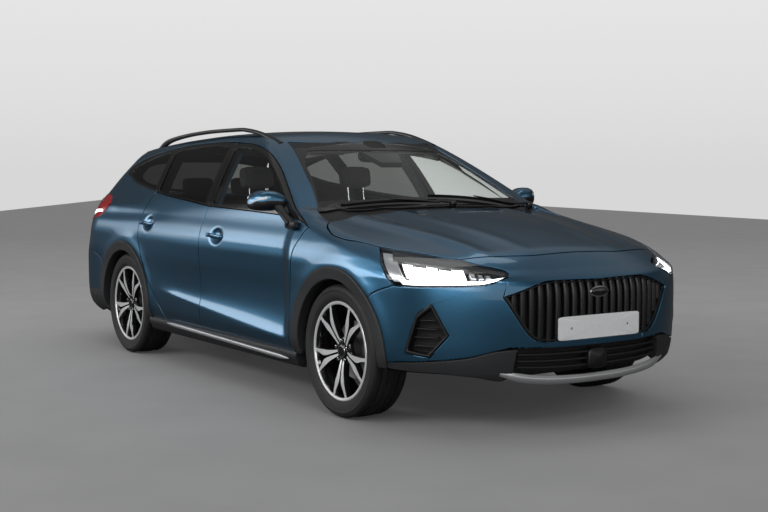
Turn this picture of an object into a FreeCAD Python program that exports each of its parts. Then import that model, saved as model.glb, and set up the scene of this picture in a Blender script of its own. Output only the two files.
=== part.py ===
"""Five-door station wagon with raised trim: a monocoque shell, hung panels, glass, lamps, seats, running gear.

Millimetres. +Z up, the nose points to -Y, +X is the car's left side. The origin is on the ground under the
middle of the car. Form coordinates in the tables are those of the drawing at its nominal size; along(), across()
and up() carry them to the sizes in the sheet, so the outlines stretch with the length, the width and the height.
"""
import FreeCAD, Part
import Sketcher
import functools
import math
import os
from FreeCAD import Placement, Rotation, Vector

os.makedirs("parts", exist_ok=True)
doc = FreeCAD.newDocument("station_wagon")

# ---------------------------------------------------------------- driving dimensions
SIZES = [
    ("overall_length", 4690),
    ("body_width", 1844),
    ("roof_height", 1472),
    ("wheelbase", 2700),
    ("front_overhang", 925),
    ("track", 1580),
    ("tyre_radius", 336),
    ("tyre_width", 215),
    ("rim_radius", 232),
    ("rim_width", 196),
    ("rim_wall", 9),
    ("flange_height", 14),
    ("face_inset", 8),
    ("spoke_depth", 28),
    ("spoke_width", 24),
    ("spoke_count", 5),
    ("hub_radius", 72),
    ("disc_radius", 150),
    ("disc_thickness", 24),
    ("kingpin_inset", 50),
    ("ball_joint_radius", 16),
    ("ball_joint_drop", 100),
    ("arch_gap", 26),
    ("arch_trim_width", 65),
    ("liner_gap", 44),
    ("liner_wall", 4),
    ("shut_gap", 7),
    ("lid_gap", 10),
    ("fit_gap", 0.3),
    ("door_thickness", 112),
    ("frame_thickness", 34),
    ("door_skin", 30),
    ("door_inset", 10),
    ("jack_pad_height", 12),
    ("seal_gap", 8),
    ("panel_wall", 30),
    ("lamp_depth", 80),
    ("glass_thickness", 5),
    ("glass_inset", 3),
    ("roof_wall", 45),
    ("floor_height", 205),
    ("floor_thickness", 40),
    ("boot_floor_height", 440),
    ("bonnet_depth", 24),
    ("cowl_drop", 40),
    ("cowl_wall", 16),
    ("firewall_height", 956.4),
    ("tailgate_skin", 20),
    ("tailgate_depth", 70),
    ("tailgate_taper", 26),
    ("tow_bore", 8),
    ("trim_proud", 9),
    ("rail_width", 34),
    ("wheel_rim_radius", 185),
    ("wheel_grip", 14),
]
sheet = doc.addObject("Spreadsheet::Sheet", "dims")
for row, (alias, value) in enumerate(SIZES, 1):
    sheet.set(f"A{row}", alias)
    sheet.set(f"B{row}", str(value))
    sheet.setAlias(f"B{row}", alias)
doc.recompute()
size = {alias: float(sheet.get(alias)) for alias, value in SIZES}

# ---------------------------------------------------------------- drawing to sheet
NOSE, FRONT_AXLE, REAR_AXLE, TAIL = -2345.0, -1420.0, 1280.0, 2345.0
DRAWN_HALF_WIDTH, DRAWN_ROOF = 922.0, 1472.0

nose_y = -size["overall_length"] / 2
tail_y = size["overall_length"] / 2
front_axle_y = nose_y + size["front_overhang"]
rear_axle_y = front_axle_y + size["wheelbase"]
half_track = size["track"] / 2
axle_z = size["tyre_radius"]
half_width = size["body_width"] / 2 - size["trim_proud"]


def along(y):
    """A drawing length position carried to the sheet's overhangs and wheelbase."""
    drawn = (NOSE, FRONT_AXLE, REAR_AXLE, TAIL)
    real = (nose_y, front_axle_y, rear_axle_y, tail_y)
    span = 0 if y < FRONT_AXLE else 1 if y < REAR_AXLE else 2
    share = (y - drawn[span]) / (drawn[span + 1] - drawn[span])
    return real[span] + share * (real[span + 1] - real[span])


def across(x):
    return x * size["body_width"] / 2 / DRAWN_HALF_WIDTH


def up(z):
    return z * size["roof_height"] / DRAWN_ROOF


# ---------------------------------------------------------------- shape helpers
def polygon(points):
    return Part.Face(Part.makePolygon(points + points[:1]))


def rounded(points, radius):
    """A closed face whose corners are arcs of the radius, less where the sides are short."""
    count, edges, ends = len(points), [], []
    for i, corner in enumerate(points):
        before, after = points[i - 1] - corner, points[(i + 1) % count] - corner
        turn = before.getAngle(after)
        back = min(radius / math.tan(turn / 2), 0.45 * before.Length, 0.45 * after.Length)
        start = corner + before.normalize() * back
        end = corner + after.normalize() * back
        bulge = (start + end) * 0.5 - corner
        reach = back * math.tan(turn / 2)
        apex = corner + bulge.normalize() * (reach / math.sin(turn / 2) - reach)
        ends.append((start, end))
        edges.append(Part.Arc(start, apex, end).toShape())
    for i in range(count):
        first, second = ends[i][1], ends[(i + 1) % count][0]
        if first.distanceToPoint(second) > 0.01:
            edges.append(Part.makeLine(first, second))
    return Part.Face(Part.Wire(Part.__sortEdges__(edges)))


def prism_x(points, low, high, radius=0.0):
    """The (y, z) outline, drawn, pushed along X from low to high in millimetres."""
    corners = [Vector(low, along(y), up(z)) for y, z in points]
    face = rounded(corners, radius) if radius else polygon(corners)
    return face.extrude(Vector(high - low, 0, 0))


def prism_y(points, low, high, radius=0.0):
    corners = [Vector(across(x), low, up(z)) for x, z in points]
    face = rounded(corners, radius) if radius else polygon(corners)
    return face.extrude(Vector(0, high - low, 0))


def prism_z(points, low, high, radius=0.0):
    corners = [Vector(across(x), along(y), low) for x, y in points]
    face = rounded(corners, radius) if radius else polygon(corners)
    return face.extrude(Vector(0, 0, high - low))


def block(x0, x1, y0, y1, z0, z1):
    return Part.makeBox(x1 - x0, y1 - y0, z1 - z0, Vector(x0, y0, z0))


def drum(y, z, radius, x0, x1):
    return Part.makeCylinder(radius, x1 - x0, Vector(x0, y, z), Vector(1, 0, 0))


def mirrored(shape):
    return shape.mirror(Vector(0, 0, 0), Vector(1, 0, 0))


def both(shape):
    return [shape, mirrored(shape)]


def joined_halves(half):
    """A left half that ends on the centre plane, made whole."""
    return half.fuse(mirrored(half))


def biggest(shape):
    return max(shape.Solids, key=lambda s: s.Volume)


nodes = {}


def show(label, solids):
    """A finished sub-part of the document, from one solid or several that stand apart."""
    solids = solids if isinstance(solids, list) else [solids]
    feature = doc.addObject("Part::Feature", label)
    feature.Label = label
    feature.Shape = solids[0] if len(solids) == 1 else Part.makeCompound(solids)
    nodes[label] = feature
    return feature


# ---------------------------------------------------------------- the outer form
# Plan outlines of the lower body at rising heights. Columns: height, nose position, length of the nose's
# rounding, half width, length of the tail's rounding, tail position.
LOWER_LEVELS = [
    (200, -2235, 640, 790, 420, 2225),
    (250, -2300, 700, 850, 460, 2290),
    (300, -2325, 740, 885, 500, 2320),
    (450, -2340, 760, 904, 520, 2345),
    (600, -2345, 770, 908, 520, 2342),
    (727, -2337, 780, 913, 520, 2305),
    (780, -2270, 780, 912, 520, 2285),
    (870, -2150, 760, 897, 520, 2262),
    (950, -2050, 740, 866, 500, 2240),
    (1030, -1950, 740, 836, 480, 2215),
]
NOSE_POWER, TAIL_POWER = 2.5, 2.6
# Centre height of the bonnet and deck along the car. Columns: position, centre height, fall at one metre out.
DECK_ROWS = [
    (-2500, 600, 95),
    (-2337, 727, 105),
    (-2167, 845, 140),
    (-2000, 893, 146),
    (-1700, 957, 135),
    (-1400, 1002, 120),
    (-1100, 1032, 80),
    (-900, 1045, 20),
    (2500, 1045, 20),
]
# Plan outlines of the greenhouse. Columns: height, screen centre, screen bow, half width, narrowing at the rear,
# length of the tail's rounding, tail position.
UPPER_LEVELS = [
    (960, -1205, 170, 866, 20, 420, 2235),
    (1030, -1075, 175, 836, 26, 430, 2205),
    (1160, -842, 180, 766, 30, 460, 2120),
    (1290, -600, 180, 684, 34, 480, 2020),
    (1395, -392, 180, 606, 34, 480, 1925),
    (1480, -225, 180, 540, 34, 470, 1860),
]
# Centre height of the roof. Columns: position, centre height, fall at one metre out.
ROOF_ROWS = [
    (-1300, 1200, 130),
    (-420, 1395, 130),
    (-127, 1452, 125),
    (300, 1472, 120),
    (900, 1458, 120),
    (1500, 1422, 125),
    (2050, 1362, 130),
    (2400, 1320, 130),
]
CORNER_STEPS = 6


def corner(step, length, half, power):
    """A point of a superellipse quarter: (across, back from the tip)."""
    angle = math.pi / 2 * step / CORNER_STEPS
    return half * math.sin(angle) ** (2 / power), length * (1 - math.cos(angle) ** (2 / power))


def closed_loop(half, z):
    """The left half's outline from nose to tail at one height, closed along the centre line."""
    corners = [Vector(x, y, z) for x, y in half]
    return Part.makePolygon(corners + corners[:1])


def lower_loop(row, inset):
    z, nose, nose_length, half, tail_length, tail = row
    half = across(half) - inset
    front = [corner(i, nose_length, half, NOSE_POWER) for i in range(CORNER_STEPS + 1)]
    rear = [corner(i, tail_length, half, TAIL_POWER) for i in range(CORNER_STEPS + 1)]
    points = [(x, along(nose + d) + inset * (1 - x / half)) for x, d in front]
    points += [(x, along(tail - d) - inset * (1 - x / half)) for x, d in reversed(rear)]
    return closed_loop(points, up(z))


def upper_loop(row, inset):
    z, screen, bow, half, narrowing, tail_length, tail = row
    half = across(half) - inset
    rear_half = half - across(narrowing)
    front = [(share * half, bow * share**2) for share in (0, 0.35, 0.65, 0.85, 0.96)]
    rear = [corner(i, tail_length, rear_half, TAIL_POWER) for i in range(CORNER_STEPS + 1)]
    rake = inset * 1.9
    points = [(x, along(screen + d) + rake) for x, d in front]
    points += [(half, along(screen + bow + 30) + rake), (half, along(300))]
    points += [(x, along(tail - d) - inset * 1.2 * (1 - x / half)) for x, d in reversed(rear)]
    return closed_loop(points, up(z))


def crown(rows, low, inset):
    """Everything under a cambered surface that runs along the car."""
    loops, reach = [], across(1000)
    for y, centre, fall in rows:
        top, edge, y = up(centre) - inset, up(centre - fall) - inset, along(y)
        corners = [Vector(-reach, y, edge), Vector(-reach, y, low), Vector(reach, y, low), Vector(reach, y, edge)]
        sides = [Part.makeLine(a, b) for a, b in zip(corners, corners[1:])]
        arc = Part.Arc(corners[3], Vector(0, y, top), corners[0]).toShape()
        loops.append(Part.Wire(sides + [arc]))
    return Part.makeLoft(loops, True, True)


@functools.lru_cache(None)
def lower_form(inset, top_inset):
    """The lower body's left half, brought in by the inset round the sides and by the other from the top."""
    loops = [lower_loop(row, inset) for row in LOWER_LEVELS]
    return Part.makeLoft(loops, True, True).common(crown(DECK_ROWS, up(100), top_inset))


@functools.lru_cache(None)
def upper_form(inset, top_inset):
    """The greenhouse's left half, brought in the same way."""
    loops = [upper_loop(row, inset) for row in UPPER_LEVELS]
    return Part.makeLoft(loops, True, True).common(crown(ROOF_ROWS, up(900), top_inset))


# ---------------------------------------------------------------- outlines of the panels
# Side view outlines, (position along, height), drawn.
FRONT_DOOR = [
    (-955, 284), (117, 284), (124, 720), (124, 990), (214, 1404), (60, 1406), (-60, 1388), (-282, 1341),
    (-507, 1254), (-720, 1140), (-900, 1045), (-1078, 948), (-1063, 905), (-996, 789), (-983, 637), (-957, 367),
]
REAR_DOOR = [
    (131, 284), (640, 284), (690, 345), (880, 530), (955, 640), (1010, 740), (1040, 840), (1042, 930),
    (1015, 1030), (992, 1100), (1076, 1374), (869, 1398), (500, 1412), (240, 1406), (141, 990), (133, 720),
]
FRONT_WINDOW = [
    (-850, 1012), (-500, 1015), (-26, 1024), (90, 1030), (180, 1376), (60, 1378), (-90, 1360), (-210, 1334),
    (-455, 1246), (-660, 1140),
]
REAR_WINDOW = [(200, 1035), (728, 1078), (950, 1104), (1030, 1340), (869, 1366), (500, 1382), (288, 1378)]
QUARTER_WINDOW = [(1026, 1112), (1400, 1146), (1560, 1178), (1620, 1240), (1400, 1285), (1108, 1336)]
HEADLAMP = [
    (-2420, 718), (-2200, 706), (-1960, 696), (-1874, 698), (-1690, 868), (-1890, 844), (-2028, 826), (-2121, 806),
    (-2230, 768), (-2420, 752),
]
BUMPER = [(-1870, 699), (-1754, 656), (-1740, 600), (-1740, 100), (-2500, 100), (-2500, 1000), (-2000, 1000)]
REAR_BUMPER = [(1620, 100), (1660, 560), (1760, 640), (2060, 690), (2500, 690), (2500, 100)]
TAIL_LAMP = [(1636, 998), (1733, 1046), (2400, 1030), (2400, 850), (2090, 862)]
GATE_SIDE = [(1802, 1500), (1802, 1340), (1700, 1300), (1700, 690), (2500, 690), (2500, 1500)]
SPOILER = [(1790, 1420), (1800, 1392), (1850, 1368), (1985, 1362), (1990, 1372), (1880, 1402)]
FUEL_FLAP = [(1450, 805), (1600, 805), (1600, 955), (1450, 955)]
SILL_TRIM = [(-990, 100), (860, 100), (860, 276), (-990, 276)]
RAIL = [
    (-250, 1396), (-150, 1430), (0, 1464), (140, 1486), (278, 1496), (600, 1494), (900, 1484), (1200, 1462),
    (1400, 1428), (1490, 1385), (1490, 1340), (1370, 1350), (1330, 1414), (1200, 1434), (900, 1458),
    (600, 1468), (278, 1470), (140, 1461), (0, 1440), (-60, 1426), (-70, 1380), (-250, 1360),
]
DASHBOARD = [(-939, 560), (-939, 950), (-860, 982), (-700, 958), (-640, 880), (-650, 760), (-760, 600), (-800, 560)]
# Plan outline of the bonnet's right half, (across, position along), drawn, from the nose to the rear edge.
BONNET = [
    (0, -2168), (230, -2164), (434, -2126), (617, -2058), (660, -2020), (735, -1880), (825, -1690), (960, -1600),
    (960, -1350), (880, -1340), (800, -1192), (420, -1196), (0, -1205),
]
# Front and back view outlines of the right half, (across, height), drawn.
GRILLE = [(0, 443), (301, 443), (506, 661), (308, 727), (0, 727)]
INTAKE = [(0, 290), (470, 290), (400, 395), (0, 395)]
FOG_POD = [(790, 627), (763, 620), (724, 478), (787, 370), (836, 391), (817, 569)]
GATE_BACK = [(0, 697), (560, 697), (640, 850), (655, 1000), (560, 1330), (480, 1480), (0, 1480)]
REAR_GLASS = [(0, 1040), (545, 1040), (470, 1318), (0, 1318)]
MIRROR = [(838, 1050), (860, 1105), (905, 1126), (965, 1112), (990, 1080), (984, 1042), (930, 1020), (860, 1026)]
MIRROR_FOOT = [(790, 960), (870, 1030), (930, 1035), (905, 990), (850, 952)]
# The screen's right half and the wiper arms on the screen's slope, (across, distance up from the foot).
SCREEN_FOOT, SCREEN_HEAD = (-1100, 1000), (-330, 1400)
SCREEN = [(0, 40), (752, 40), (656, 310), (574, 600), (538, 818), (0, 818)]
WIPERS = [
    [(640, 44), (640, 58), (120, 112), (-40, 122), (-40, 108), (120, 96)],
    [(40, 30), (40, 44), (-480, 96), (-640, 106), (-640, 92), (-480, 82)],
]

gap = size["shut_gap"]
lid_gap = size["lid_gap"]
fit = size["fit_gap"]
far = size["body_width"]
ahead = -size["overall_length"]
behind = size["overall_length"]
axles = (front_axle_y, rear_axle_y)
wheel_places = {
    "front_left": (1, front_axle_y),
    "front_right": (-1, front_axle_y),
    "rear_left": (1, rear_axle_y),
    "rear_right": (-1, rear_axle_y),
}


def whole(half):
    """A symmetric outline from its right half, whose first or last points lie on the centre line."""
    return half + [(-x, y) for x, y in reversed(half) if x]


def grown(points, reach):
    """An outline moved outwards, or inwards where the reach is negative, with its sides kept parallel."""
    corners = [Vector(x, y, 0) for x, y in points]
    area = sum(a.x * b.y - b.x * a.y for a, b in zip(corners, corners[1:] + corners[:1]))
    side = 1 if area > 0 else -1
    moved = []
    for i, here in enumerate(corners):
        before = (here - corners[i - 1]).normalize()
        after = (corners[(i + 1) % len(corners)] - here).normalize()
        outward = Vector(before.y + after.y, -before.x - after.x, 0) * side
        step = outward * (reach / max(1 + before.dot(after), 0.5))
        moved.append((here.x + step.x, here.y + step.y))
    return moved


# ---------------------------------------------------------------- volumes that pieces are cut from
underside = up(LOWER_LEVELS[0][0])
floor_top = size["floor_height"] + size["floor_thickness"]
firewall_y = along(-980)
side_wall = size["door_thickness"] + size["seal_gap"] + 50
upper_wall = size["frame_thickness"] + size["seal_gap"] + 30

low = lower_form(0, 0)
high = upper_form(0, 0)
outer = low.fuse(high)


def hull(inset, upper_inset):
    """Everything inside the body's skin by the two insets, up to the belt and above it."""
    return lower_form(inset, 0).fuse(upper_form(upper_inset, 0))


panel_shell = low.cut(lower_form(size["panel_wall"], size["panel_wall"]))
lamp_shell = outer.cut(hull(size["lamp_depth"], size["lamp_depth"]))
door_shell = outer.cut(hull(size["door_thickness"], size["frame_thickness"]))
ring_shell = outer.cut(hull(size["door_thickness"] + size["seal_gap"], size["frame_thickness"] + size["seal_gap"]))
trim_shell = lower_form(-size["trim_proud"], 0).cut(low)
pane_shell = upper_form(size["glass_inset"], 0).cut(upper_form(size["glass_inset"] + size["glass_thickness"], 0))


def arch_drum(axle_y, radius, x0, x1):
    """A cylinder round an axle, opened down to the ground."""
    return drum(axle_y, axle_z, radius, x0, x1).fuse(block(x0, x1, axle_y - radius, axle_y + radius, -50, axle_z))


trim_radius = size["tyre_radius"] + size["arch_gap"]
trim_outside = trim_radius + size["arch_trim_width"]
liner_radius = size["tyre_radius"] + size["liner_gap"]
well_radius = liner_radius + size["liner_wall"] + fit
well_inner = {front_axle_y: across(505), rear_axle_y: across(585)}
wells = [arch_drum(y, well_radius, well_inner[y], far) for y in axles]

bonnet_plan = whole(BONNET)
bonnet_room = prism_z(grown(bonnet_plan, lid_gap), up(500), up(1300))
bonnet_room = bonnet_room.cut(lower_form(0, size["bonnet_depth"] + lid_gap))
cowl_side, cowl_back = 742, -960
cowl_plan = [(-cowl_side, -1250), (cowl_side, -1250), (cowl_side, cowl_back), (-cowl_side, cowl_back)]
gate_side = prism_x(GATE_SIDE, -far, far)
gate_hole = prism_y(grown(whole(GATE_BACK), lid_gap), along(1700), behind)
gate_hole = gate_hole.common(prism_x(grown(GATE_SIDE, gap), -far, far))
lamp_front = prism_x(HEADLAMP, across(470), far)
lamp_back = prism_x(TAIL_LAMP, across(300), far)
bumper_region = prism_x(BUMPER, -far, far)


def tow_socket(radius):
    """The bore for a screw-in towing eye, through the left of the nose into the cross member."""
    return Part.makeCylinder(radius, along(-2170) - ahead, Vector(across(450), ahead, up(520)), Vector(0, 1, 0))


# ---------------------------------------------------------------- doors
def door(name, outline, window):
    """A door slab with its window hole, and the pane that closes the hole, on both sides.

    Behind its skin the slab is smaller all round, so that its inner corners clear the frame as it swings.
    """
    skin = outer.cut(hull(size["door_skin"], size["door_skin"]))
    core = prism_x(grown(outline, -size["door_inset"]), across(300), far)
    slab = door_shell.common(prism_x(outline, across(300), far))
    slab = slab.common(skin.fuse(core))
    for front, back, inside in ((-1100, -700, 690), (-700, -500, 620)):
        slab = slab.cut(block(0, across(inside), along(front), along(back), up(1000), up(1400)))
    hole = prism_x(window, across(300), far)
    panel = biggest(slab.cut(hole))
    pane = biggest(pane_shell.common(hole))
    for side, turn in (("left", lambda shape: shape), ("right", mirrored)):
        show(f"{name}_door_{side}", turn(panel))
        show(f"{name}_glass_{side}", turn(pane))


def mirrors():
    back, front = along(-612), along(-745)
    housing = prism_y(MIRROR, front, back, 14)
    foot = prism_y(MIRROR_FOOT, front + 20, back - 40)
    mirror = biggest(housing.fuse(foot).cut(outer))
    for side, turn in (("left", lambda shape: shape), ("right", mirrored)):
        show(f"mirror_{side}", turn(mirror))


# ---------------------------------------------------------------- the nose
def bonnet():
    lid = low.cut(lower_form(0, size["bonnet_depth"]))
    show("bonnet", joined_halves(biggest(lid.common(prism_z(bonnet_plan, up(700), up(1300))))))


def nose():
    """The bumper with its openings, the grilles that sit back in them, the headlamps and the wings."""
    holes = [prism_y(whole(GRILLE), ahead, along(-1900)), prism_y(whole(INTAKE), ahead, along(-1900))]
    pod = prism_y(FOG_POD, ahead, along(-1850))
    bumper = panel_shell.common(bumper_region).cut(holes + [pod, lamp_front, wells[0], bonnet_room])
    show("front_bumper", joined_halves(biggest(bumper)).cut(tow_socket(2 * size["tow_bore"])))

    slats = lower_form(8, 8).cut(lower_form(size["panel_wall"], size["panel_wall"]))
    middle = [joined_halves(biggest(slats.common(hole))) for hole in holes]
    show("grille", middle + both(biggest(slats.common(pod))))

    lamp = biggest(lamp_shell.common(low).common(lamp_front).cut([bonnet_room, wells[0]]))
    show("headlamps", both(lamp))

    wing = panel_shell.common(block(across(300), far, nose_y, firewall_y - fit, up(250), up(1100)))
    behind_line = prism_x([(-957, 0), (-957, 367), (-1000, 960), (-600, 1060), (-600, 0)], across(300), far)
    door_room = prism_x(grown(FRONT_DOOR, gap), across(300), far)
    cowl_room = prism_z(grown(cowl_plan, fit), up(800), up(1300))
    wing = wing.cut([bumper_region, bonnet_room, door_room, behind_line, cowl_room, lamp_front, wells[0], high])
    show("front_wings", both(biggest(wing)))


def cowl():
    """The scuttle, sunk below the bonnet's rear edge so that the edge can swing back over it."""
    top, under = size["cowl_drop"], size["cowl_drop"] + size["cowl_wall"]
    panel = lower_form(0, top).cut(lower_form(0, under)).common(prism_z(cowl_plan, up(800), up(1300)))
    panel = panel.cut(upper_form(-fit, 0))
    show("cowl", joined_halves(biggest(panel)))


def front_plate():
    width, height = 520, 111
    foot_z = up(443)
    plate = block(-width / 2, width / 2, nose_y, nose_y + size["face_inset"] - fit, foot_z, foot_z + height)
    show("front_plate", plate)


# ---------------------------------------------------------------- the tail
def tail():
    """The tailgate with its spoiler, pane and lamps, the corner lamps, the bumper and the plate."""
    gate_prism = prism_y(whole(GATE_BACK), along(1700), behind)
    pane_hole = prism_y(whole(REAR_GLASS), along(1700), behind)
    lip = prism_x(SPOILER, -across(490), across(490)).common(crown(ROOF_ROWS, up(900), 0)).common(gate_side)
    skin, depth = size["tailgate_skin"], size["tailgate_depth"]
    slab = outer.cut(hull(skin, skin)).common(gate_prism).common(gate_side)
    frame = hull(skin, skin).cut(hull(depth, depth)).common(gate_side)
    frame = frame.common(prism_y(grown(whole(GATE_BACK), -size["tailgate_taper"]), along(1700), behind))
    slab = slab.fuse(frame)
    lens_block = block(across(440), far, 0, behind, up(860), up(1020))
    lens = biggest(lamp_shell.common(slab).common(lamp_back).common(lens_block))
    gate = biggest(slab.cut([pane_hole, lens]))
    show("tailgate", joined_halves(gate).fuse(lip))
    show("tailgate_lamps", both(lens))
    show("tailgate_glass", joined_halves(biggest(pane_shell.common(pane_hole).common(gate_side).cut(lip))))
    show("tail_lamps", both(biggest(lamp_shell.common(lamp_back).cut(gate_hole))))

    width, height = 520, 111
    foot_z = up(775)
    plate = trim_shell.common(block(0, width / 2, 0, behind, foot_z, foot_z + height))
    show("rear_plate", joined_halves(biggest(plate)))

    bumper = panel_shell.common(prism_x(REAR_BUMPER, -far, far))
    show("rear_bumper", joined_halves(biggest(bumper.cut([wells[1], gate_hole]))))


# ---------------------------------------------------------------- screen, quarter panes, trims
rise = Vector(0, along(SCREEN_HEAD[0]) - along(SCREEN_FOOT[0]), up(SCREEN_HEAD[1]) - up(SCREEN_FOOT[1])).normalize()
upright = Vector(1, 0, 0).cross(rise)
screen_foot = Vector(0, along(SCREEN_FOOT[0]), up(SCREEN_FOOT[1]))


def slope_prism(points, depth):
    """An outline on the screen's slope, pushed both ways across it."""
    corners = [screen_foot + rise * up(s) + Vector(across(x), 0, 0) - upright * depth for x, s in points]
    return polygon(corners).extrude(upright * (2 * depth))


screen_hole = slope_prism(whole(SCREEN), 150)
quarter_hole = prism_x(QUARTER_WINDOW, across(300), far)


def fixed_glass():
    show("windscreen", joined_halves(biggest(pane_shell.common(screen_hole))))
    show("quarter_glass", both(biggest(pane_shell.common(quarter_hole))))


def wipers():
    sheath = upper_form(-14, 0).cut(upper_form(size["glass_inset"] - fit, 0))
    arms = []
    for outline in WIPERS:
        blade = slope_prism(outline, 120)
        left, right = sheath.common(blade), mirrored(sheath.common(mirrored(blade)))
        arms.append(biggest(left.fuse(right)))
    show("wipers", arms)


def trims():
    rings = []
    for y in axles:
        ring = arch_drum(y, trim_outside, across(600), far).cut(arch_drum(y, trim_radius, across(600), far))
        rings += both(biggest(trim_shell.common(ring).common(block(0, far, ahead, behind, up(215), up(900)))))
    show("arch_trims", rings)
    sill = trim_shell.common(prism_x(SILL_TRIM, across(600), far))
    for y in axles:
        sill = sill.cut(arch_drum(y, trim_outside + fit, across(600), far))
    show("sill_trims", both(biggest(sill)))
    skid = trim_shell.common(block(0, across(540), ahead, along(-1900), up(225), up(278)))
    show("skid_blade", joined_halves(biggest(skid)))


def roof_rails():
    inner = across(532)
    rail = prism_x(RAIL, inner, inner + size["rail_width"])
    show("roof_rails", both(biggest(rail.cut(high))))


def wheel_liners():
    liners = []
    for y in axles:
        inner, reach = well_inner[y] + fit, across(870)
        arch = drum(y, axle_z, liner_radius + size["liner_wall"], inner, reach)
        arch = arch.cut(drum(y, axle_z, liner_radius, inner, reach))
        arch = arch.common(block(inner, reach, ahead, behind, axle_z - 40, behind))
        liners += both(biggest(arch.common(lower_form(2, 2))))
    show("wheel_liners", liners)


def fuel_flap():
    skin = low.cut(lower_form(12, 12))
    show("fuel_flap", biggest(skin.common(prism_x(FUEL_FLAP, across(600), far))))


# ---------------------------------------------------------------- body shell
def front_structure():
    """The left half of the rails, wheel housings and cross members ahead of the cabin, and of the firewall."""
    rail_x, rail_z = across(440), up(420)
    inner = well_inner[front_axle_y]
    housing = drum(front_axle_y, axle_z, well_radius + 12, inner - 12, across(800))
    under = block(0, far, ahead, 0, -50, axle_z - 60)
    housing = housing.cut([arch_drum(front_axle_y, well_radius, inner, far), under])
    return [
        housing,
        block(0, across(720), firewall_y - 20, firewall_y + 40, floor_top - 5, up(size["firewall_height"])),
        block(0, across(520), along(-2130), along(-2090), up(690), up(760)),
        block(0, across(540), along(-2215), along(-2150), up(480), up(570)),
        block(rail_x - 35, rail_x + 35, along(-2150), firewall_y, rail_z - 55, rail_z + 55),
        block(rail_x - 30, rail_x + 30, along(-2200), along(-2090), rail_z, up(760)),
        block(inner - 12, across(760), firewall_y - 160, firewall_y + 10, up(600), up(640)),
        block(rail_x, inner, front_axle_y - 30, front_axle_y + 30, rail_z - 20, rail_z + 40),
    ]


def jack_pads():
    """Two flat pads under the left sill, lower than all that lies between the sills near them."""
    low_z = underside - size["jack_pad_height"]
    return [block(across(670), across(730), along(y) - 40, along(y) + 40, low_z, floor_top - 5) for y in (-860, 780)]


def lid_stops():
    """Buffers that the closed bonnet and tailgate sit against, a hair clear."""
    under_lid = lower_form(0, size["bonnet_depth"] + fit)
    buffer = block(across(430), across(460), along(-2115), along(-2090), up(740), up(900)).common(under_lid)
    gate_foot = up(GATE_BACK[0][1])
    stop_top = gate_foot + size["tailgate_taper"] - fit
    sill = block(across(180), across(220), along(2215), along(2265), gate_foot - 60, stop_top)
    return [buffer, sill]


def body_shell():
    """The monocoque: one wall all round, hollowed for the cabin and cut for every opening, then mirrored."""
    shell = outer.common(block(0, far, firewall_y, behind, up(150), up(1600)))
    pocket = block(0, well_inner[rear_axle_y] - 2, rear_axle_y - 270, along(2150), 0, size["boot_floor_height"] - 40)
    cabin = lower_form(side_wall, 0).common(block(0, far, firewall_y + 30, behind, floor_top, up(1040)))
    cabin = cabin.cut(block(0, far, along(980), behind, 0, size["boot_floor_height"]))
    cabin = cabin.fuse(upper_form(upper_wall, size["roof_wall"]))
    cabin = cabin.cut(drum(rear_axle_y, axle_z, well_radius + 14, well_inner[rear_axle_y] - 14, far))
    wall_x, beam_y = well_inner[rear_axle_y], rear_axle_y
    beam_room = block(wall_x - 20, wall_x + 5, beam_y - 216, beam_y - 124, axle_z - 101, axle_z - 19)
    tools = [pocket, cabin, quarter_hole, screen_hole, gate_hole, bonnet_room, beam_room] + wells
    for outline in (FRONT_DOOR, REAR_DOOR):
        tools.append(ring_shell.common(prism_x(grown(outline, gap), across(300), far)))
        tools.append(prism_x(grown(outline, -28), across(300), far))
    tools.append(low.cut(lower_form(size["panel_wall"] + fit, 0)).common(prism_x(REAR_BUMPER, -far, far)))
    tools.append(outer.cut(hull(size["lamp_depth"] + fit, size["lamp_depth"] + fit)).common(lamp_back))
    cowl_under = size["cowl_drop"] + size["cowl_wall"] + fit
    tools.append(low.cut(lower_form(0, cowl_under)).common(prism_z(cowl_plan, up(800), up(1300))).cut(high))
    for tool in tools:
        shell = shell.cut(tool)
    shell = biggest(shell).fuse(front_structure() + lid_stops() + jack_pads())
    flap_room = low.cut(lower_form(55, 55)).common(prism_x(grown(FUEL_FLAP, gap), across(600), far))
    catch = prism_x([(1580, 870), (1596, 870), (1596, 890), (1580, 890)], across(600), far)
    flap_room = flap_room.cut(catch.common(lower_form(12 + fit, 12)))
    roof_zone = block(0, across(520), along(-600), behind, up(1245), up(1600))
    floor_front, floor_rear = along(-935), along(980)
    front_zone = block(0, far, ahead, floor_front, 0, up(1045))
    floor_zone = block(0, far, floor_front, floor_rear, 0, floor_top)
    boot_side = well_inner[rear_axle_y] - 14
    boot_zone = block(0, boot_side, floor_rear, behind, 0, up(740)).fuse(block(0, far, floor_rear, behind, 0, floor_top))
    show("roof_panel", joined_halves(biggest(shell.common(roof_zone))))
    show("front_frame", joined_halves(biggest(shell.common(front_zone))).cut(tow_socket(size["tow_bore"])))
    show("floor_pan", joined_halves(biggest(shell.common(floor_zone))))
    show("boot_floor", joined_halves(biggest(shell.common(boot_zone))))
    side = biggest(shell.cut([roof_zone, front_zone, floor_zone, boot_zone]))
    show("side_frame_left", biggest(side.cut(flap_room)))
    show("side_frame_right", mirrored(side))


# ---------------------------------------------------------------- parametric pieces
def bind(item, **sizes):
    """Ties an object's properties to expressions on the sheet's cells."""
    for name, expression in sizes.items():
        item.setExpression(name.replace("__", "."), expression)
    return item


def box(label, x, y, z, *corner):
    """A box whose three sizes, and low corner where it has one, are numbers or expressions."""
    item = doc.addObject("Part::Box", label)
    for name, value in (("Length", x), ("Width", y), ("Height", z)):
        item.setExpression(name, str(value))
    for name, value in zip("xyz", corner):
        item.setExpression(f"Placement.Base.{name}", str(value))
    return item


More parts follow.
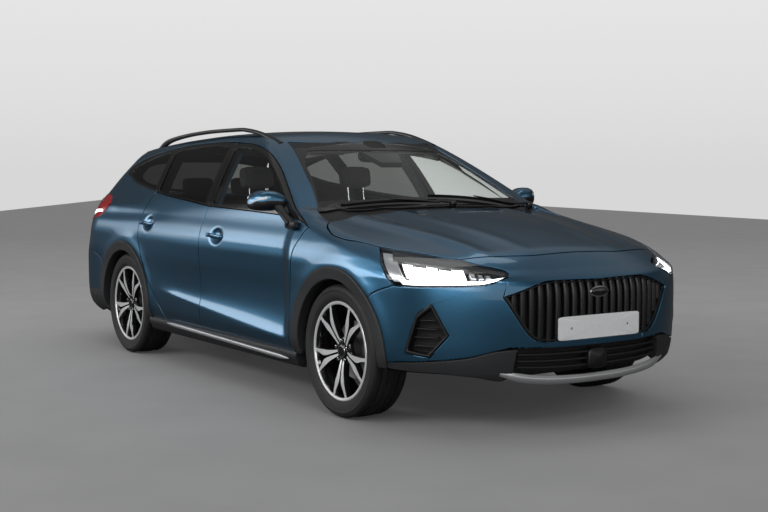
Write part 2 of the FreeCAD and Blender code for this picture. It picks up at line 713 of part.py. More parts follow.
def rod(label, radius, length, start, direction):
    item = doc.addObject("Part::Cylinder", label)
    item.setExpression("Radius", str(radius))
    item.setExpression("Height", str(length))
    item.Placement = Placement(Vector(*start), Rotation(Vector(0, 0, 1), Vector(*direction)))
    return item


def joined(label, items):
    item = doc.addObject("Part::MultiFuse", label)
    item.Shapes = items
    item.Label = label
    nodes[label] = item
    return item


def grouped(label, items):
    """Pieces that stand apart on one body, as one node."""
    item = doc.addObject("Part::Compound", label)
    item.Links = items
    item.Label = label
    nodes[label] = item
    return item


def origin_plane(body, role):
    return next(plane for plane in body.Origin.OriginFeatures if plane.Role == role)


def section(body, name, points, role="XZ_Plane"):
    """A closed sketch whose corners are tied to expressions, on one of the body's own planes."""
    sketch = body.newObject("Sketcher::SketchObject", name)
    sketch.AttachmentSupport = (origin_plane(body, role), "")
    sketch.MapMode = "FlatFace"
    count = len(points)
    values = [(reckoned(x), reckoned(y)) for x, y in points]
    for i, (x, y) in enumerate(values):
        following = values[(i + 1) % count]
        sketch.addGeometry(Part.LineSegment(Vector(x, y, 0), Vector(*following, 0)), False)
    for i in range(count):
        sketch.addConstraint(Sketcher.Constraint("Coincident", i, 2, (i + 1) % count, 1))
    for i, pair in enumerate(points):
        for axis, expression in zip(("DistanceX", "DistanceY"), pair):
            value = values[i][0] if axis == "DistanceX" else values[i][1]
            index = sketch.addConstraint(Sketcher.Constraint(axis, -1, 1, i, 1, value))
            sketch.setExpression(f"Constraints[{index}]", str(expression))
    return sketch


def reckoned(expression):
    """The number that an expression on the sheet's cells gives now."""
    sheet.set("D1", "=" + str(expression).replace("dims.", ""))
    sheet.recompute()
    return float(sheet.get("D1"))


TYRE = [
    ("-dims.rim_width / 2 + 4.5", "dims.rim_radius + dims.fit_gap"),
    ("-dims.rim_width / 2 + 4.5", "dims.rim_radius + dims.flange_height + 2"),
    ("-dims.tyre_width / 2", "dims.rim_radius + dims.flange_height + 38"),
    ("-dims.tyre_width / 2 + 6", "dims.tyre_radius - 16"),
    ("-dims.tyre_width / 2 + 26", "dims.tyre_radius"),
]
BARREL = [
    ("-dims.rim_width / 2", "dims.rim_radius - dims.rim_wall"),
    ("-dims.rim_width / 2", "dims.rim_radius + dims.flange_height"),
    ("-dims.rim_width / 2 + 4", "dims.rim_radius + dims.flange_height"),
    ("-dims.rim_width / 2 + 4", "dims.rim_radius"),
]


def minus(expression):
    return f"-({expression})"


def ring_body(label, half, placed):
    """A ring turned about the axle from one side's corners and their mirror image."""
    body = doc.addObject("PartDesign::Body", label)
    body.Label = label
    turn = body.newObject("PartDesign::Revolution", f"{label}_turn")
    sketch = section(body, f"{label}_section", half + [(minus(x), y) for x, y in reversed(half)])
    turn.Profile = sketch
    turn.ReferenceAxis = (sketch, ["H_Axis"])
    turn.Angle = 360
    body.Placement = placed
    return body


def wheel(place):
    side, axle = wheel_places[place]
    placed = Placement(Vector(side * half_track, axle, axle_z), Rotation(Vector(0, 0, 1), 0 if side > 0 else 180))
    nodes[f"tyre_{place}"] = ring_body(f"tyre_{place}", TYRE, placed)
    barrel = ring_body(f"barrel_{place}", BARREL, Placement())
    hub = rod(f"hub_{place}", "dims.hub_radius", "dims.rim_width / 2 - dims.face_inset - 10", (10, 0, 0), (1, 0, 0))
    face_x = size["rim_width"] / 2 - size["face_inset"] - size["spoke_depth"]
    offset = Vector(face_x, -size["spoke_width"] / 2, size["hub_radius"] / 2)
    pieces = [barrel, hub]
    count = int(size["spoke_count"])
    for i in range(2 * count):
        turned = Rotation(Vector(1, 0, 0), 360 / count * (i // 2) + (9 if i % 2 else -9))
        reach = f"dims.rim_radius - 4 - {offset.z}"
        spoke = box(f"spoke_{place}_{i}", "dims.spoke_depth", "dims.spoke_width", reach)
        spoke.Placement = Placement(turned.multVec(offset), turned)
        pieces.append(spoke)
    rim = doc.addObject("Part::MultiFuse", f"casting_{place}")
    rim.Shapes = pieces
    disc = rod(f"disc_{place}", "dims.disc_radius", "dims.disc_thickness", (-20, 0, 0), (1, 0, 0))
    bell = rod(f"bell_{place}", "dims.hub_radius", 26, (10 - fit - 26, 0, 0), (1, 0, 0))
    brake = doc.addObject("Part::MultiFuse", f"brake_{place}")
    brake.Shapes = [disc, bell]
    node = grouped(f"rim_{place}", [rim, brake])
    node.Placement = placed


def knuckle(side_name, side):
    """The steered hub carrier with its ball joint leg and steering arm, and the caliper that it carries."""
    kingpin = half_track - size["kingpin_inset"]
    disc_inside = half_track - 20
    y, z = front_axle_y, axle_z
    carrier = drum(y, z, 50, half_track - 100, disc_inside - fit)
    leg = block(kingpin - 20, kingpin + 20, y - 25, y + 25, z - size["ball_joint_drop"], z)
    arm = block(kingpin - 70, kingpin - 40, y, y + 130, z - 96, z - 66)
    arm = arm.fuse(block(kingpin - 70, kingpin - 40, y, y + 30, z - 96, z))
    body = carrier.fuse(leg).fuse(arm).fuse(caliper(y, disc_inside))
    show(f"knuckle_{side_name}", body if side > 0 else mirrored(body))


def caliper(y, disc_inside):
    """A brake caliper astride the front of a disc, with the bracket that ties it to the hub carrier."""
    thickness, clear = size["disc_thickness"], 6
    x0, x1 = disc_inside - 18 - clear, disc_inside + thickness + clear + 12
    front, back = y - 188, y - 108
    body = block(x0, x1, front, back, axle_z - 20, axle_z + 110)
    slot = drum(y, axle_z, size["disc_radius"] + clear, disc_inside - clear, disc_inside + thickness + clear)
    return body.cut(slot).fuse(block(x0, disc_inside - clear, back - 10, y, axle_z - 20, axle_z + 30))


# ---------------------------------------------------------------- running gear on the body
def front_subframe():
    """The cross member, its posts, the lower arms, the steering rack and the struts."""
    y, inner = front_axle_y, well_inner[front_axle_y]
    rail_low, rail_in, rail_out = up(420) - 55, across(440) - 35, across(440) + 35
    beam_top = axle_z - 71
    kingpin = half_track - size["kingpin_inset"]
    joint_top = axle_z - size["ball_joint_drop"] - fit
    beam = box("beam", 2 * rail_in + 60, 150, 60, -rail_in - 30, y - 60, beam_top - 60)
    rack = rod("rack", 20, 1100, (-550, y + 130, beam_top - 22), (1, 0, 0))
    saddle = box("saddle", 400, 60, 30, -200, y + 85, beam_top - 40)
    pieces = [beam, rack, saddle]
    for side_name, side in (("left", 1), ("right", -1)):
        low_x = rail_in if side > 0 else -kingpin
        pieces.append(box(f"arm_{side_name}", kingpin - rail_in, 32, 30, low_x, y - 16, joint_top - 30))
        socket = (side * kingpin, y, joint_top - 30)
        pieces.append(rod(f"ball_{side_name}", "dims.ball_joint_radius", 30, socket, (0, 0, 1)))
        low_x = rail_in if side > 0 else -rail_in - 30
        pieces.append(box(f"post_{side_name}", 30, 40, rail_low - fit - beam_top + 1, low_x, y + 20, beam_top - 1))
    frame = joined("subframe_frame", pieces)
    nodes.pop("subframe_frame")
    top = Vector(inner + 70, y, axle_z + 384)
    foot = Vector(inner + 95, y, axle_z + 104)
    line = (top - foot).normalize()
    leg = Part.makeCylinder(24, 420, foot, line).fuse(Part.makeCylinder(40, 260, foot + line * 140, line))
    leg = leg.common(arch_drum(y, liner_radius - fit, inner, far))
    legs = []
    for side_name, shape in zip(("left", "right"), both(leg)):
        feature = doc.addObject("Part::Feature", f"strut_{side_name}")
        feature.Shape = shape
        legs.append(feature)
    grouped("front_subframe", [frame] + legs)


def rear_axle():
    """A beam between two trailing arms that carry the rear hubs and calipers."""
    y, inner = rear_axle_y, well_inner[rear_axle_y]
    arm_x, arm_wide = inner + 27, 60
    disc_inside = half_track - 20
    front_end = y - well_radius + fit
    beam = block(-arm_x - 10, arm_x + 10, y - 210, y - 130, axle_z - 95, axle_z - 25)
    for side in (1, -1):
        arm = block(arm_x, arm_x + arm_wide, front_end, y + 60, axle_z - 100, axle_z - 42)
        carrier = drum(y, axle_z, 50, arm_x + 10, disc_inside - fit)
        pieces = arm.fuse(carrier).fuse(caliper(y, disc_inside))
        beam = beam.fuse(pieces if side > 0 else mirrored(pieces))
    show("rear_axle", beam)


def power_unit():
    """Engine and gearbox as plain blocks between the rails, and the radiator ahead of them."""
    rail_in = across(440) - 35
    rail_z = up(420)
    y0 = along(-1760)
    engine = box("engine_block", 520, 480, 500, -160, y0, rail_z - 115)
    gearbox = box("gearbox", rail_in - fit - 150, 380, 290, -rail_in + fit, y0 + 40, rail_z - 115)
    mount = box("engine_mount", rail_in - fit - 350, 90, 70, 350, y0 + 180, rail_z - 30)
    joined("engine", [engine, gearbox, mount])
    core = box("radiator", 2 * (rail_in - fit) - 30, 40, up(690) - fit - 255, -rail_in + fit + 15, along(-2130), 255)
    feet = box("radiator_feet", 2 * (rail_in - fit), 30, 60, -rail_in + fit, along(-2125), rail_z - 30)
    core.Label = "radiator_core"
    joined("radiator_pack", [core, feet])


def exhaust():
    pipe_z, radius = underside - 28, 22
    start, back = front_axle_y + 185, along(1900)
    pipe = rod("pipe", radius, back - start, (0, start, pipe_z), (0, 1, 0))
    riser = rod("riser", radius, up(420) - 115 - fit - pipe_z, (0, start, pipe_z), (0, 0, 1))
    knee = doc.addObject("Part::Sphere", "knee")
    knee.Radius = radius
    knee.Placement = Placement(Vector(0, start, pipe_z), Rotation())
    ceiling = size["boot_floor_height"] - 40 - fit
    silencer = box("silencer", 620, 240, 150, -220, along(1830), pipe_z - 15)
    hanger = box("hanger", 40, 20, ceiling - pipe_z - 100, 60, along(1900), pipe_z + 100)
    clip = box("clip", 20, 12, underside - fit - pipe_z, -10, 0, pipe_z)
    joined("exhaust", [pipe, riser, knee, silencer, hanger, clip])


def fuel_tank():
    top = underside - fit
    tank = box("fuel_tank", 440, 480, 52, 60, along(440), top - 52)
    tank.Label = "fuel_tank"
    nodes["fuel_tank"] = tank


# ---------------------------------------------------------------- cabin
driver_x = 370
wheel_centre = Vector(driver_x, along(-520), up(850))
column = Vector(0, -0.906, -0.423)
column_reach = 108


def dashboard():
    """The dash top and face with the console between the seats."""
    face = prism_x(DASHBOARD, -across(690), across(690), 20)
    console = block(-105, 105, along(-790), along(-150), floor_top + fit, up(590))
    shroud = Part.makeCylinder(36, 90, wheel_centre + column * (column_reach + fit), column)
    show("dashboard", face.fuse(console).fuse(shroud))


def steering_wheel():
    """Rim, boss, three spokes and the end of the column, tilted towards the driver."""
    radius, grip = size["wheel_rim_radius"], size["wheel_grip"]
    turned = Rotation(Vector(0, 0, 1), column)
    ring = doc.addObject("Part::Torus", "wheel_ring")
    bind(ring, Radius1="dims.wheel_rim_radius", Radius2="dims.wheel_grip")
    ring.Placement = Placement(wheel_centre, turned)
    boss = rod("wheel_boss", 62, 40, wheel_centre - column * 10, column)
    stalk = rod("column_end", 24, column_reach - 20, wheel_centre + column * 20, column)
    pieces = [ring, boss, stalk]
    for i, angle in enumerate((0, 90, 180)):
        spin = turned.multiply(Rotation(Vector(0, 0, 1), angle))
        spoke = box(f"wheel_spoke_{i}", radius - grip / 2, 34, 14)
        spoke.Placement = Placement(wheel_centre + spin.multVec(Vector(0, -17, 0)), spin)
        pieces.append(spoke)
    joined("steering_wheel", pieces)


def seat(x, width, y, floor_z, seat_z, back_top, head_xs):
    """Base, cushion, leaning back and head restraints on posts, each a plain soft solid."""
    half, lean = width / 2, 0.32
    base = block(x - half + 60, x + half - 60, y + 40, y + 460, floor_z, seat_z - 150)
    back_y = y + 500
    side = [(y, seat_z - 150), (y - 10, seat_z - 30), (y + 40, seat_z), (back_y, seat_z - 40), (back_y, seat_z - 150)]
    cushion = solid_side(side, x - half, x + half)
    foot_y, thick, rise_z = y + 450, 120, back_top - seat_z + 40
    back = [(foot_y, seat_z - 120), (foot_y + thick, seat_z - 120), (foot_y + thick + rise_z * lean, back_top),
            (foot_y + 30 + rise_z * lean, back_top)]
    whole_seat = base.fuse(cushion).fuse(solid_side(back, x - half, x + half))
    top_y = foot_y + 60 + rise_z * lean
    for head_x in head_xs:
        rest = [(top_y - 25, back_top + 50), (top_y + 65, back_top + 50), (top_y + 95, back_top + 210),
                (top_y + 25, back_top + 215)]
        head = solid_side(rest, head_x - 125, head_x + 125)
        for post_x in (head_x - 60, head_x + 60):
            head = head.fuse(Part.makeCylinder(6, 70, Vector(post_x, top_y + 20, back_top - 10), Vector(0, 0, 1)))
        whole_seat = whole_seat.fuse(head)
    return whole_seat


def solid_side(points, x0, x1):
    face = rounded([Vector(x0, y, z) for y, z in points], 28)
    return face.extrude(Vector(x1 - x0, 0, 0))


def seats():
    z = floor_top + fit
    for side_name, x in (("left", driver_x), ("right", -driver_x)):
        show(f"seat_{side_name}", seat(x, 490, along(-330), z, 520, 1050, [x]))
    half = across(555)
    y, boot_z = along(560), size["boot_floor_height"]
    step = block(-far, far, along(980) - fit, behind, 0, boot_z + fit)
    show("rear_seat", seat(0, 2 * half, y, z, boot_z + 115, 1040, [-370, 0, 370]).cut(step))


for label in ("front", "rear"):
    door(label, FRONT_DOOR if label == "front" else REAR_DOOR, FRONT_WINDOW if label == "front" else REAR_WINDOW)
mirrors()
bonnet()
nose()
cowl()
front_plate()
tail()
fixed_glass()
wipers()
trims()
roof_rails()
wheel_liners()
fuel_flap()
body_shell()
for place in wheel_places:
    wheel(place)
for side_name, side in (("left", 1), ("right", -1)):
    knuckle(side_name, side)
front_subframe()
rear_axle()
power_unit()
exhaust()
fuel_tank()
dashboard()
steering_wheel()
seats()


doc.recompute()
for item in doc.Objects:
    if "Invalid" in item.State or "Error" in item.State:
        raise RuntimeError(f"{item.Name} didn't compute: {item.State}")
for name, feature in nodes.items():
    shape = feature.Shape
    if shape.isNull() or not shape.isValid():
        raise RuntimeError(f"{name} has no valid shape")
for name, feature in nodes.items():
    feature.Shape.exportStep(f"parts/{name}.step")
    print(name, len(feature.Shape.Solids), round(feature.Shape.Volume / 1e6, 2))
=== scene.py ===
import math
import bpy
import numpy as np
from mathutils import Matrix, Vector


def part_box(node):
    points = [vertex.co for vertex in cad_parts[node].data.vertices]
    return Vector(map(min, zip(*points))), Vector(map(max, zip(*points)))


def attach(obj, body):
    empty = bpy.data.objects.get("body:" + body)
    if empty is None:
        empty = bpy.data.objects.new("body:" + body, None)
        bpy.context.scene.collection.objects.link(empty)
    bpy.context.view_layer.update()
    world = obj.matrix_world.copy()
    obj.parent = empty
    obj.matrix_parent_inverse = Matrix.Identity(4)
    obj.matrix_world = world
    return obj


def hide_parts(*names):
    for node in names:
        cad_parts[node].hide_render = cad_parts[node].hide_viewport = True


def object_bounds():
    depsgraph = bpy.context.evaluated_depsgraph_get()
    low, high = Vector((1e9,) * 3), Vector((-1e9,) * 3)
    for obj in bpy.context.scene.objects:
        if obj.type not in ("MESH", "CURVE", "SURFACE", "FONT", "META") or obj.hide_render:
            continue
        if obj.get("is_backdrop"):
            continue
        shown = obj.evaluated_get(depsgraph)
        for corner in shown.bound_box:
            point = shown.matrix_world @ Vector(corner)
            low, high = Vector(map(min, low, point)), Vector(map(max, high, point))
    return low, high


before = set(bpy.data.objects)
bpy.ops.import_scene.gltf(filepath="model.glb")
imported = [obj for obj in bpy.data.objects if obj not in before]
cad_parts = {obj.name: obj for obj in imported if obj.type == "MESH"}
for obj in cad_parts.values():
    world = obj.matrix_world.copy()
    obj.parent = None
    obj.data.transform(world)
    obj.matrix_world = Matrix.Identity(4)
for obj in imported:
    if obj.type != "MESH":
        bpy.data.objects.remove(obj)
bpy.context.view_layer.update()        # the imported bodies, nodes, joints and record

print("stage: frame loaded")


# A curve through the rows of a table: between two rows a cubic, whose slope at a row is the harmonic
# mean of the slopes of the straight lines before and after that row.
def through(xs, ys, x):
    xs, ys = np.asarray(xs, float), np.asarray(ys, float)
    chord = np.diff(ys) / np.diff(xs)
    before, after = chord[:-1], chord[1:]
    total = np.where(before + after == 0, 1, before + after)
    inner = np.where(before * after > 0, 2 * before * after / total, 0)
    slope = np.concatenate([chord[:1], inner, chord[-1:]])
    x = np.clip(x, xs[0], xs[-1])
    i = np.clip(np.searchsorted(xs, x) - 1, 0, len(xs) - 2)
    step = xs[i + 1] - xs[i]
    t = (x - xs[i]) / step
    return (ys[i] * (1 + 2 * t) * (1 - t) ** 2 + slope[i] * step * t * (1 - t) ** 2
            + ys[i + 1] * t * t * (3 - 2 * t) + slope[i + 1] * step * t * t * (t - 1))


# Zero below the low value, one above the high one, and 3t squared less 2t cubed between them.
def ramp(low, high, x):
    t = np.clip((x - low) / (high - low), 0, 1)
    return t * t * (3 - 2 * t)


# The larger of two fields, rounded where they cross: adds the width over four times the square of how
# near they are to each other, as a share of the width.
def roundMax(a, b, width):
    near = np.maximum(width - np.abs(a - b), 0) / width
    return np.maximum(a, b) + near * near * width / 4


form = {
    "standOff": .004,            # how far the skin stands over the frame's panels
    "noseBend": 2.5, "tailBend": 2.6,
    "deckEdge": .05, "roofEdge": .05, "pillarEdge": .035,
    # height, nose place, nose rounding, tail rounding, tail place
    "plan": [(.2, -2.235, .64, .42, 2.225), (.25, -2.3, .7, .46, 2.29),
             (.3, -2.325, .74, .5, 2.32), (.45, -2.34, .76, .52, 2.345),
             (.6, -2.345, .77, .52, 2.342), (.727, -2.337, .78, .52, 2.305),
             (.78, -2.27, .78, .52, 2.285), (.87, -2.15, .76, .52, 2.262),
             (.95, -2.05, .74, .5, 2.24), (1.03, -1.95, .74, .48, 2.205),
             (1.16, -1.95, .74, .46, 2.12), (1.29, -1.95, .74, .48, 2.02),
             (1.395, -1.95, .74, .48, 1.925), (1.48, -1.95, .74, .47, 1.86)],
    # height, half width
    "width": [(.2, .79), (.25, .85), (.3, .888), (.36, .903), (.45, .907), (.6, .909),
              (.7, .912), (.77, .912), (.83, .906), (.88, .893), (.95, .866), (1.03, .836),
              (1.16, .766), (1.29, .684), (1.395, .606), (1.48, .54)],
    # height, narrowing towards the tail
    "narrow": [(.2, 0.0), (.88, 0.0), (.96, .02), (1.03, .026), (1.29, .034), (1.48, .034)],
    # place along the car, swelling of the rear shoulder
    "swell": [(.8, 0.0), (1.05, .006), (1.2, .01), (1.35, .014), (1.5, .0175), (1.65, .0215), (1.8, .021),
              (1.95, .017), (2.1, .009), (2.3, 0.0)],
    # place along the car, centre height, fall at one metre out
    "deck": [(-2.5, .6, .095), (-2.337, .727, .105), (-2.167, .845, .14), (-2.0, .893, .146),
             (-1.7, .957, .135), (-1.4, 1.002, .12), (-1.1, 1.032, .08), (-.9, 1.045, .02),
             (2.5, 1.045, .02)],
    "roof": [(-1.3, 1.2, .115), (-.42, 1.41, .108), (-.127, 1.463, .1), (.3, 1.477, .098),
             (.9, 1.46, .11), (1.5, 1.422, .125), (2.05, 1.362, .13), (2.4, 1.32, .13)],
    # height, screen place on the centre line, bow
    "screen": [(.96, -1.205, .17), (1.03, -1.075, .175), (1.16, -.842, .18), (1.29, -.6, .18),
               (1.395, -.392, .18), (1.48, -.225, .18)],
    "swageLow": .338, "swageRise": .085, "swageWide": .185, "swageDeep": .031,
    "shoulderRise": .016, "flare": .007, "ridge": .012, "innerRidge": .006,
    "cups": [(-.087, .851), (.903, .89)], "cupDeep": .016,      # behind the door handles
    "frontAxle": -1.42, "rearAxle": 1.28, "axleHeight": .336,
}


# One column of a table of the form, read along a smooth curve through its rows.
def column(table, index, at):
    return through([row[0] for row in form[table]], [row[index] for row in form[table]], at)


# Half the body's width: the width table read at the height less the shoulder's rise, less the narrowing
# of the tail, less the swage, which is depth times t times e to the (1 - t) with t the height over the
# swage line in swage widths, softened at the line itself, both of these tapering to a third towards the
# rear, plus a bell-shaped swelling along the rear shoulder, plus a bell-shaped flare round each wheel
# arch, less a cup at each handle.
def bodyWidth(y, z):
    rise = form["shoulderRise"] * np.clip(y, -1.2, 1.8) * ramp(.62, .84, z) * (1 - ramp(.96, 1.03, z))
    half = column("width", 1, z - rise) - column("narrow", 1, z) * ramp(.3, 2.2, y)
    line = form["swageLow"] + form["swageRise"] * (y + .95)
    taper = 1 - .66 * ramp(-.9, .65, y)
    t = (z - line) / (form["swageWide"] * taper)
    t = (t + np.sqrt(t * t + .008)) / 2
    fade = ramp(-.985, -.86, y) * (1 - ramp(.4, .8, y))
    half = half - form["swageDeep"] * taper * fade * t * np.exp(1 - t)
    half = half + column("swell", 1, y) * np.exp(-((z - 1.0) / .055) ** 2)
    for axle in (form["frontAxle"], form["rearAxle"]):
        reach = np.hypot(y - axle, z - form["axleHeight"])
        half = half + form["flare"] * np.exp(-((reach - .43) / .05) ** 2) * ramp(.2, .4, z)
    for y0, z0 in form["cups"]:
        half = half - form["cupDeep"] * np.exp(-(((y - y0) / .062) ** 2 + ((z - z0) / .04) ** 2) ** 2)
    return half


# The field of the whole skin: below zero inside, above zero outside. Each side is a superellipse of the
# plan, the bonnet and the roof are crowned sheets, the screen leans with a parabolic bow, and the lower
# and upper bodies are rounded where these meet.
def skin(p):
    x, y, z = np.abs(p[..., 0]), p[..., 1], p[..., 2]
    half = bodyWidth(y, z)
    nose, noseLong = column("plan", 1, z), column("plan", 2, z)
    tailLong, tail = column("plan", 3, z), column("plan", 4, z)
    ahead = np.maximum((nose + noseLong - y) / noseLong, 0)
    behind = np.maximum((y - tail + tailLong) / tailLong, 0)
    bend = np.where(y < 0, form["noseBend"], form["tailBend"])
    across = np.maximum(x, 1e-4) / half
    side = ((across**bend + (ahead + behind) ** bend) ** (1 / bend) - 1) * .88
    tailBend = form["tailBend"]
    rearSide = ((across**tailBend + behind**tailBend) ** (1 / tailBend) - 1) * .7
    ridge = form["ridge"] * np.exp(-((x - .5 - .13 * ramp(-2.15, -1.15, y)) / .05) ** 2)
    ridge = ridge + form["innerRidge"] * np.exp(-((x - .27 - .1 * ramp(-2.15, -1.15, y)) / .05) ** 2)
    ridge = ridge * ramp(-2.25, -1.9, y)
    deck = z - column("deck", 1, y) + column("deck", 2, y) * x * x - ridge
    lower = roundMax(side, deck, form["deckEdge"])
    roof = z - column("roof", 1, y) + column("roof", 2, y) * x * x
    screen = (column("screen", 1, z) + column("screen", 2, z) * (x / half) ** 2 - y) * .45
    upper = roundMax(roundMax(rearSide, screen, form["pillarEdge"]), roof, form["roofEdge"])
    return np.minimum(lower, upper) - form["standOff"]


# The field's slope from differences of 0.4 mm each way.
def slope(p):
    step = .0004
    parts = [(skin(p + step * axis) - skin(p - step * axis)) / (2 * step) for axis in np.eye(3)]
    return np.stack(parts, -1)


# Vectors divided by their lengths.
def unit(v):
    return v / np.maximum(np.linalg.norm(v, axis=-1, keepdims=True), 1e-9)


# Points moved onto the skin: seven steps, each back along the slope by the field over the slope squared.
def toSkin(p, lift=0.0):
    for _ in range(7):
        g = slope(p)
        p = p - (skin(p) - lift)[..., None] * g / np.maximum((g * g).sum(-1, keepdims=True), .05)
    return p


# A smooth curve through some places, at even distances. A None in the list makes a corner there.
def curve(places, count):
    runs, run = [], []
    for place in places:
        if place is None:
            runs.append(run)
            run = [run[-1]]
        else:
            run.append(place)
    runs = [np.array(r, float) for r in runs + [run]]
    lengths = [np.linalg.norm(np.diff(r, axis=0), axis=1).sum() for r in runs]
    ends = np.concatenate([[0], np.cumsum(lengths)])
    want = np.linspace(0, ends[-1], count)
    for end in ends[1:-1]:        # the nearest sample goes exactly to each corner
        want[np.argmin(np.abs(want - end))] = end
    out = np.zeros((count, runs[0].shape[1]))
    for i, r in enumerate(runs):
        s = np.concatenate([[0], np.cumsum(np.linalg.norm(np.diff(r, axis=0), axis=1))]) + ends[i]
        here = (want >= ends[i] - 1e-9) & (want <= ends[i + 1] + 1e-9)
        rule = np.interp if len(r) == 2 else lambda x, xs, ys: through(xs, ys, x)
        out[here] = np.stack([rule(want[here], s, r[:, k]) for k in range(r.shape[1])], -1)
    return out


# A sheet between four curves: the blend of bottom and top, plus the blend of left and right, less the
# blend of the four corners.
def sheetBetween(bottom, top, left, right, across, upward):
    b, t, l, r = (curve(c, n) if isinstance(c, list) else c
                  for c, n in ((bottom, across), (top, across), (left, upward), (right, upward)))
    u, v = np.linspace(0, 1, across)[:, None, None], np.linspace(0, 1, upward)[None, :, None]
    rows = (1 - v) * b[:, None] + v * t[:, None] + (1 - u) * l[None] + u * r[None]
    corners = (1 - u) * (1 - v) * b[0] + u * (1 - v) * b[-1] + (1 - u) * v * t[0] + u * v * t[-1]
    return rows - corners


# The faces of a grid of n by m points, four corners each. A closed grid joins its last row to its first.
def quads(n, m, closed=False):
    i, j = np.meshgrid(np.arange(n if closed else n - 1), np.arange(m - 1), indexing="ij")
    a, b = (i * m + j).ravel(), ((i + 1) % n * m + j).ravel()
    return np.stack([a, b, b + 1, a + 1], -1)


# A grid of points as one part of a piece, with an edge that rolls over by a quarter circle and goes in.
# sides gives, for the left, right, bottom and top edge, half the gap that it keeps; None is a plain joint.
# A ring closes on itself in its first direction. A back sheet, where there is one, shuts the part behind.
def edged(grid, normal, sides=(.003, .003, .003, .003), radius=.0018, depth=.02, ring=False, back=None):
    n, m = grid.shape[:2]
    grid = grid.copy()
    turn = np.cross(grid[1:, :-1] - grid[:-1, :-1], grid[:-1, 1:] - grid[:-1, :-1])
    flip = (turn * normal[:-1, :-1]).sum() < 0
    if ring:
        borders = [(np.arange(n), np.zeros(n, int), np.full(n, 2)),
                   (np.arange(n)[::-1], np.full(n, m - 1), np.full(n, 3))]
    else:
        i = np.concatenate([np.arange(n), np.full(m - 1, n - 1), np.arange(n - 2, -1, -1),
                            np.zeros(m - 2, int)])
        j = np.concatenate([np.zeros(n, int), np.arange(1, m), np.full(n - 1, m - 1),
                            np.arange(m - 2, 0, -1)])
        borders = [(i, j, np.concatenate([np.full(n, 2), np.full(m - 1, 1), np.full(n - 1, 3),
                                          np.full(m - 2, 0)]))]
    gaps = np.array([0 if s is None else s for s in sides])
    softs = np.array([0 if s is None else radius for s in sides])
    faces, rings, tilts, start = [quads(n, m, ring)], [], [], n * m
    for i, j, side in borders:
        gap, soft = gaps[side], softs[side][:, None]
        loop, up = grid[i, j], normal[i, j]
        out = unit(np.cross(unit(np.roll(loop, -1, 0) - np.roll(loop, 1, 0)), up)) * (-1 if flip else 1)
        loop = loop - out * (gap[:, None] + soft)
        grid[i, j] = loop
        for angle in np.radians([30, 60, 90]):
            rings.append(loop + soft * (out * math.sin(angle) - up * (1 - math.cos(angle))))
            tilts.append(np.where(soft > 0, up * math.cos(angle) + out * math.sin(angle), up))
        rings.append(rings[-1] - up * depth)
        tilts.append(np.where(soft > 0, out, up))
        count, before = len(i), i * m + j
        for k in range(4):
            now = start + np.arange(count)
            faces.append(np.stack([np.roll(before, -1), before, now, np.roll(now, -1)], -1))
            before, start = now, start + count
    points = np.concatenate([grid.reshape(-1, 3)] + rings)
    normals = np.concatenate([normal.reshape(-1, 3)] + tilts)
    marks = np.zeros(sum(len(f) for f in faces), int)
    if back is not None:
        back = back.copy()
        back[i, j] = rings[-1]
        faces.append(quads(n, m)[:, ::-1] + len(points))
        marks = np.concatenate([marks, np.ones(len(faces[-1]), int)])
        points = np.concatenate([points, back.reshape(-1, 3)])
        normals = np.concatenate([normals, -normal.reshape(-1, 3)])
    faces = np.concatenate(faces)
    return points, faces[:, ::-1] if flip else faces, normals, marks


# A piece of the skin between four curves. A thick one is shut behind by a sheet that deep in.
def skinPanel(bottom, top, left, right, across, upward, sides, lift=0.0, radius=.0018, depth=.02, thick=0.0):
    rows = toSkin(sheetBetween(bottom, top, left, right, across, upward), lift)
    normal = unit(slope(rows))
    back = rows - thick * normal if thick else None
    return edged(rows, normal, sides, radius, thick or depth, back=back)


# A panel whose two sides run straight from the ends of its low line to the ends of its high one.
def patch(low, high, across, upward, sides=(0, 0, 0, 0), *rest, **more):
    return skinPanel(low, high, [low[0], high[0]], [low[-1], high[-1]], across, upward, sides, *rest, **more)


# A ring of skin between an outer and an inner outline. Each outline is a list of runs, and the matching
# runs have the same number of samples.
def skinRing(outer, inner, counts, across, sides=(None, None), lift=0.0, radius=.0018, depth=.02):
    far = np.concatenate([curve(run, n + 1)[:-1] for run, n in zip(outer, counts)])
    near = np.concatenate([curve(run, n + 1)[:-1] for run, n in zip(inner, counts)])
    t = np.linspace(0, 1, across)[None, :, None]
    rows = toSkin(far[:, None] * (1 - t) + near[:, None] * t, lift)
    return edged(rows, unit(slope(rows)), (None, None, *sides), radius, depth, ring=True)


# Loops of points joined one to the next, and its two ends shut by a fan to their middles.
def lofted(loops, mark=0):
    k, m = loops.shape[:2]
    points = loops.transpose(1, 0, 2).reshape(-1, 3)
    faces = quads(m, k, True)
    points = np.concatenate([points, [loops[0].mean(0), loops[-1].mean(0)]])
    at = np.arange(m) * k
    first, last = np.full(m, m * k), np.full(m, m * k + 1)
    fans = [np.stack([np.roll(at, -1), at, first, first], -1),
            np.stack([at + k - 1, np.roll(at, -1) + k - 1, last, last], -1)]
    faces = np.concatenate([faces, *fans])
    a, b, c, d = (points[faces[:, n]] for n in range(4))
    volume = (a * np.cross(b, c)).sum() + (a * np.cross(c, d)).sum()
    return points, faces[:, ::-1] if volume < 0 else faces, None, np.full(len(faces), mark)


